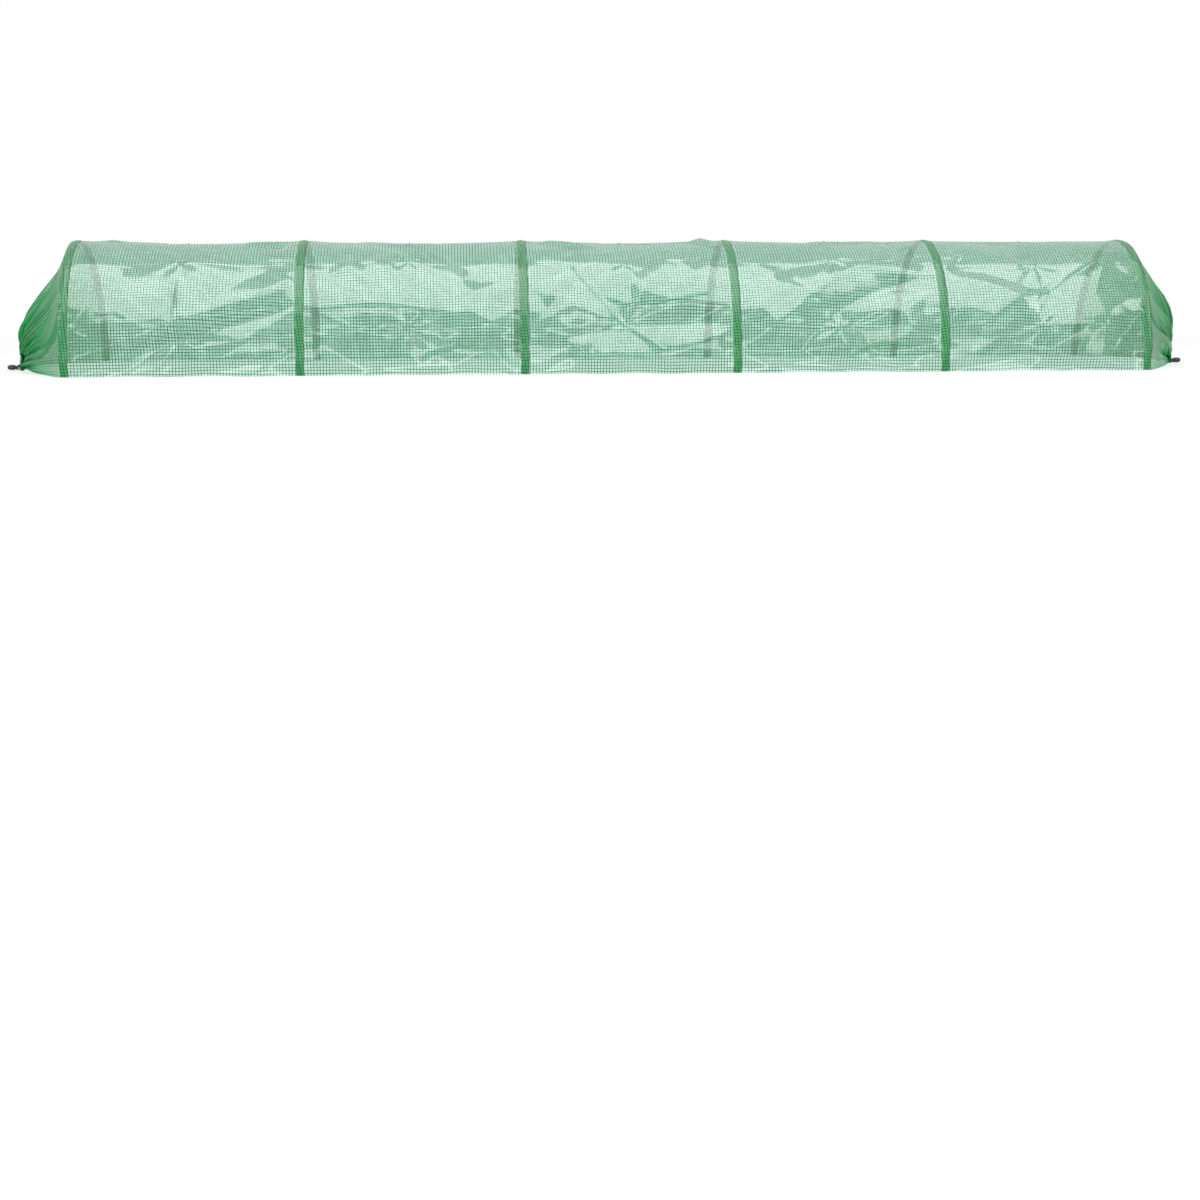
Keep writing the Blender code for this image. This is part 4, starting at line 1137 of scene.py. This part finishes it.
def skirt_surface(side):
    columns, rows = np.linspace(0, 1, SKIRT_AROUND), np.linspace(0, 1, SKIRT_ALONG)
    around, along = np.meshgrid(columns, rows, indexing="ij")
    y, z, _, _ = hoop_at(around)
    start = np.stack([np.full(around.shape, SHEET_START), y, z], axis=-1)
    lip = mouth_at(around)
    spread = np.array([1.0, 1.10, 1.0])
    reach = np.full(around.shape, MOUTH_REACH - 5 * MM)
    lift = np.stack([reach, np.zeros(around.shape), 3 * MM * np.sin(math.pi * around)], axis=-1)
    end = lip * spread + lift
    point = start + (end - start) * along[..., None]
    point[..., 2] = np.where(point[..., 2] < 0.5 * MM, 0.5 * MM, point[..., 2])
    crownness = np.sin(math.pi * around) ** 0.7
    low, hollow = (2.6, 22) if side == "left" else (1.6, 0)
    bulge = 26 * np.sin(math.pi * along**low) - hollow * np.sin(math.pi * along) * (1 - along)
    point[..., 0] += crownness * bulge * MM
    hem = np.abs(np.cos(math.pi * around)) ** 10 * np.sin(math.pi * along)
    point[..., 0] += 14 * MM * hem
    d_around = np.gradient(point, axis=0)
    d_along = np.gradient(point, axis=1)
    normal = np.cross(d_around, d_along)
    normal /= np.linalg.norm(normal, axis=-1)[..., None] + 1e-12
    outward = np.where((normal * (point - np.array([0, 0, 0.05]))).sum(-1) < 0, -1.0, 1.0)
    normal *= outward[..., None]
    seed = 0.0 if side == "left" else 2.4
    warp = around + 0.018 * np.sin(2 * math.pi * 1.7 * around + 1 + seed)
    warp += 0.010 * np.sin(2 * math.pi * 4.3 * around + seed)
    wide = wave(WIDE_FOLDS * warp + 0.25 + 0.1 * np.sin(3 * along + seed))
    middle = wave(MIDDLE_FOLDS * warp + 0.6 * np.sin(5 * around + seed) + 0.15 * along)
    narrow = wave(NARROW_FOLDS * warp + 0.9 * np.sin(9 * around + seed))
    height = WIDE_DEPTH * wide * along**0.7 * (1 - 0.7 * step_up((along - 0.4) / 0.6))
    fading = 1 - 0.35 * step_up((along - 0.8) / 0.2)
    height += MIDDLE_DEPTH * middle * step_up((along - 0.18) / 0.6) * fading
    height += NARROW_DEPTH * narrow * step_up((along - 0.5) / 0.4)
    ground = step_up(point[..., 2] / (20 * MM))
    point = point + normal * (height * ground * MM)[..., None]
    point[..., 2] = np.maximum(point[..., 2], 0.5 * MM)
    steps = np.linalg.norm(np.diff(point, axis=1), axis=-1)
    length = np.concatenate([np.zeros((SKIRT_AROUND, 1)), np.cumsum(steps, axis=1)], axis=1)
    net = np.stack([length, around * GIRTH], axis=-1)
    bunched = 0.42 + 0.58 * along**0.9 if side == "left" else 0.45 + 0.5 * along**1.2
    # Painted shade: the hollows of the middle and narrow folds are made more crowded, so darker.
    hollow_shade = 1 - 0.14 * middle - 0.16 * narrow * step_up((along - 0.3) / 0.4)
    return point, net, np.minimum(1, bunched * hollow_shade)


_, skirt_net, _ = skirt_surface("right")
print("the right skirt's longest pleat is", round(float(skirt_net[..., 0].max()) / MM), "mm")

# %% [markdown]
# ## Both skirts
# Each end has one skirt. It rides on its end hoop.

# %% Lay the two skirts
for side, sign in SIDES.items():
    points, net, crowd_and_shade = skirt_surface(side)
    end = hoop_x[0] if side == "left" else hoop_x[-1]
    points = points * np.array([sign, 1, 1]) + np.array([end, 0, 0])
    skirt = film_object(f"skirt_{side}", points, net, crowd_and_shade)
    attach(skirt, "hoop_1" if side == "left" else "hoop_6")
    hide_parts(f"end_skirt_{side}")
    sleeve = "sleeve_1" if side == "left" else "sleeve_6"
    run = MOUTH_REACH - SHEET_START
    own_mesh(skirt)

# %% [markdown]
# ## Gathered hems
# The film's edge is turned over the cord and sewn, and the cord draws it into a tight ruffle. It is a
# soft tube round the cord whose wall goes in and out in nearly sixty uneven folds with smaller ones on
# them. So much film is crowded there that it looks solid green, with pale glints where a fold catches
# the light.

# %% Gather a hem
HEM_AROUND, HEM_SIDES = 1100, 28
HEM_STRIP = 45 * MM
HEM_FOLDS, HEM_SMALL_FOLDS = 58, 127
HEM_REACH, HEM_THICK = 10.2 * MM, 7.4 * MM


def ruffle_points(side):
    share = np.linspace(0, 1, HEM_AROUND)
    line = mouth_at(share)
    line[:, 0] += MOUTH_REACH
    _, across, up = line_frames(line)
    radial = line - np.array([MOUTH_REACH, 0, 30 * MM])
    radial[:, 0] = 0
    tangent = np.gradient(line, axis=0)
    tangent /= np.linalg.norm(tangent, axis=1)[:, None]
    radial -= tangent * (radial * tangent).sum(1)[:, None]
    radial /= np.linalg.norm(radial, axis=1)[:, None]
    side_way = np.cross(tangent, radial)
    turns = np.linspace(0, 2 * math.pi, HEM_SIDES)
    seed = 0.7 if side == "left" else 3.1
    a, t = share[:, None], turns[None, :]
    warp = a + 0.006 * np.sin(2 * math.pi * 3.3 * a + seed) + 0.003 * np.sin(2 * math.pi * 9.1 * a)
    fold = wave(HEM_FOLDS * warp + 0.25 * np.sin(t + seed) + 0.12 * np.sin(2 * t))
    small = wave(HEM_SMALL_FOLDS * warp + 0.4 * np.sin(t * 2 + seed))
    uneven = np.sin(2 * math.pi * 5.3 * a + seed) * np.sin(t + 2)
    toe = np.minimum(1, np.minimum(a, 1 - a) / 0.03)
    swell = (0.93 + 0.34 * fold + 0.13 * small + 0.08 * uneven) * (0.42 + 0.58 * toe**0.6)
    reach = HEM_REACH * swell
    thick = HEM_THICK * swell
    points = (
        line[:, None, :]
        + (reach * np.cos(t))[..., None] * radial[:, None, :]
        + (thick * np.sin(t))[..., None] * side_way[:, None, :]
    )
    points[..., 2] = np.maximum(points[..., 2], 0.5 * MM)
    net = np.stack([t / (2 * math.pi) * HEM_STRIP + 0 * a, a * GIRTH + 0 * t], axis=-1)
    return points, net


print("a hem's ruffle has", HEM_AROUND * HEM_SIDES, "points")

# %% [markdown]
# ## Both hems
# A hem is the tightest gather of the sheet, so its crowding is 1 all over. It rides on the mouth, which
# is tucked in with its cord and its lock.

# %% Lay the two hems
for side, sign in SIDES.items():
    points, net = ruffle_points(side)
    end = hoop_x[0] if side == "left" else hoop_x[-1]
    points = points * np.array([sign, 1, 1]) + np.array([end, 0, 0])
    hem = film_object(f"ruffle_{side}", points, net, 1)
    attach(hem, f"mouth_{side}")
    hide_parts(f"end_casing_{side}")
print("ruffles gathered")

# %% [markdown]
# ## Floor
# A plain white floor keeps the soft shadow. Most of what the camera and the film's reflections see of
# it is an even white glow, which turns complete far from the tunnel, so that no line shows where the
# floor ends. The rest is matt paper, which takes the shadow.

# %% Lay the white floor
FLOOR_GLOW = 1.04
NEAR_GLOW, GLOW_FROM, GLOW_TO = 0.66, 1.9, 3.4
floor_mesh = bpy.data.meshes.new("floor")
floor_mesh.from_pydata([(-30, -30, 0), (30, -30, 0), (30, 30, 0), (-30, 30, 0)], [], [(0, 1, 2, 3)])
floor = new_object("floor", floor_mesh)
paper = bpy.data.materials.new("white studio floor")
paper.use_nodes = True
tree = paper.node_tree
tree.nodes.clear()
matt = add_node(tree, "ShaderNodeBsdfDiffuse", Color=(0.9, 0.9, 0.9, 1))
glow = add_node(tree, "ShaderNodeEmission", Color=(1, 1, 1, 1), Strength=FLOOR_GLOW)
ray = add_node(tree, "ShaderNodeLightPath").outputs
seen = add_node(
    tree, "ShaderNodeMath", {"operation": "MAXIMUM"}, i0=ray["Is Camera Ray"], i1=ray["Is Glossy Ray"]
)
place = add_node(tree, "ShaderNodeTexCoord")
apart = add_node(tree, "ShaderNodeVectorMath", {"operation": "LENGTH"}, i0=place.outputs["Object"])
far = apart.outputs["Value"]
fade = add_node(
    tree, "ShaderNodeMapRange", i0=far, i1=GLOW_FROM, i2=GLOW_TO, i3=NEAR_GLOW, i4=1.0
).outputs[0]
share_white = add_node(tree, "ShaderNodeMath", {"operation": "MULTIPLY"}, i0=seen.outputs[0], i1=fade)
surface = add_node(
    tree, "ShaderNodeMixShader", i0=share_white.outputs[0], i1=matt.outputs[0], i2=glow.outputs[0]
)
add_node(tree, "ShaderNodeOutputMaterial", Surface=surface.outputs[0])
floor_mesh.materials.append(paper)
floor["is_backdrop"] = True
print("floor glows at", FLOOR_GLOW)

# %% [markdown]
# ## Background
# The world is white for what the camera sees, also in reflections and through clear things, and only a
# weak fill for everything else, so that the lamps shape the film.

# %% Make the white background
WORLD_FILL = 0.25
world = bpy.data.worlds.new("studio")
bpy.context.scene.world = world
world.use_nodes = True
tree = world.node_tree
tree.nodes.clear()
ray = add_node(tree, "ShaderNodeLightPath").outputs
seen = add_node(
    tree, "ShaderNodeMath", {"operation": "MAXIMUM"}, i0=ray["Is Camera Ray"], i1=ray["Is Glossy Ray"]
)
seen = add_node(
    tree, "ShaderNodeMath", {"operation": "MAXIMUM"}, i0=seen.outputs[0], i1=ray["Is Transmission Ray"]
)
fill = add_node(tree, "ShaderNodeBackground", Color=(1, 1, 1, 1), Strength=WORLD_FILL)
white = add_node(tree, "ShaderNodeBackground", Color=(1, 1, 1, 1), Strength=1.0)
sky = add_node(tree, "ShaderNodeMixShader", i0=seen.outputs[0], i1=fill.outputs[0], i2=white.outputs[0])
add_node(tree, "ShaderNodeOutputWorld", Surface=sky.outputs[0])
print("world fills at", WORLD_FILL)

# %% [markdown]
# ## Lamps
# Film needs large soft lamps: each facet then mirrors a wide pale patch or none of it, which is what
# makes packed film look faceted. A long low lamp stands in front, a broad one hangs above the near
# side, one behind shines through the far side without being mirrored, and two small ones light the
# ends.

# %% Hang the soft lamps
def soft_lamp(name, place, aim, size, power):
    lamp = bpy.data.lights.new(name, "AREA")
    lamp.shape = "RECTANGLE"
    lamp.size, lamp.size_y = size
    lamp.energy = power
    made = new_object(name, lamp)
    made.location = place
    made.rotation_euler = (Vector(aim) - Vector(place)).to_track_quat("-Z", "Y").to_euler()
    made.visible_camera = False
    return made


soft_lamp("lamp_low", (0.6, -6.8, 0.95), (0, 0, 0.15), (9.0, 1.1), 85)
soft_lamp("lamp_broad", (0, -1.1, 2.4), (0, -0.4, 0), (4.8, 2.5), 96)
lamp_back = soft_lamp("lamp_back", (0, 3.2, 1.0), (0, 0, 0.1), (5.0, 1.6), 60)
lamp_back.visible_glossy = False
soft_lamp("lamp_left", (-3.4, -1.2, 1.3), (-1.4, 0, 0.15), (1.4, 1.4), 18)
soft_lamp("lamp_right", (3.4, -1.2, 1.3), (1.4, 0, 0.15), (1.4, 1.4), 20)
bpy.context.scene.view_settings.view_transform = "Standard"
if hasattr(bpy.context.scene, "cycles"):
    bpy.context.scene.cycles.transparent_max_bounces = 32

# %% Print the visual box and finish
low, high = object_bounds()
print("visual box", [round(value, 4) for value in (*low, *high)])
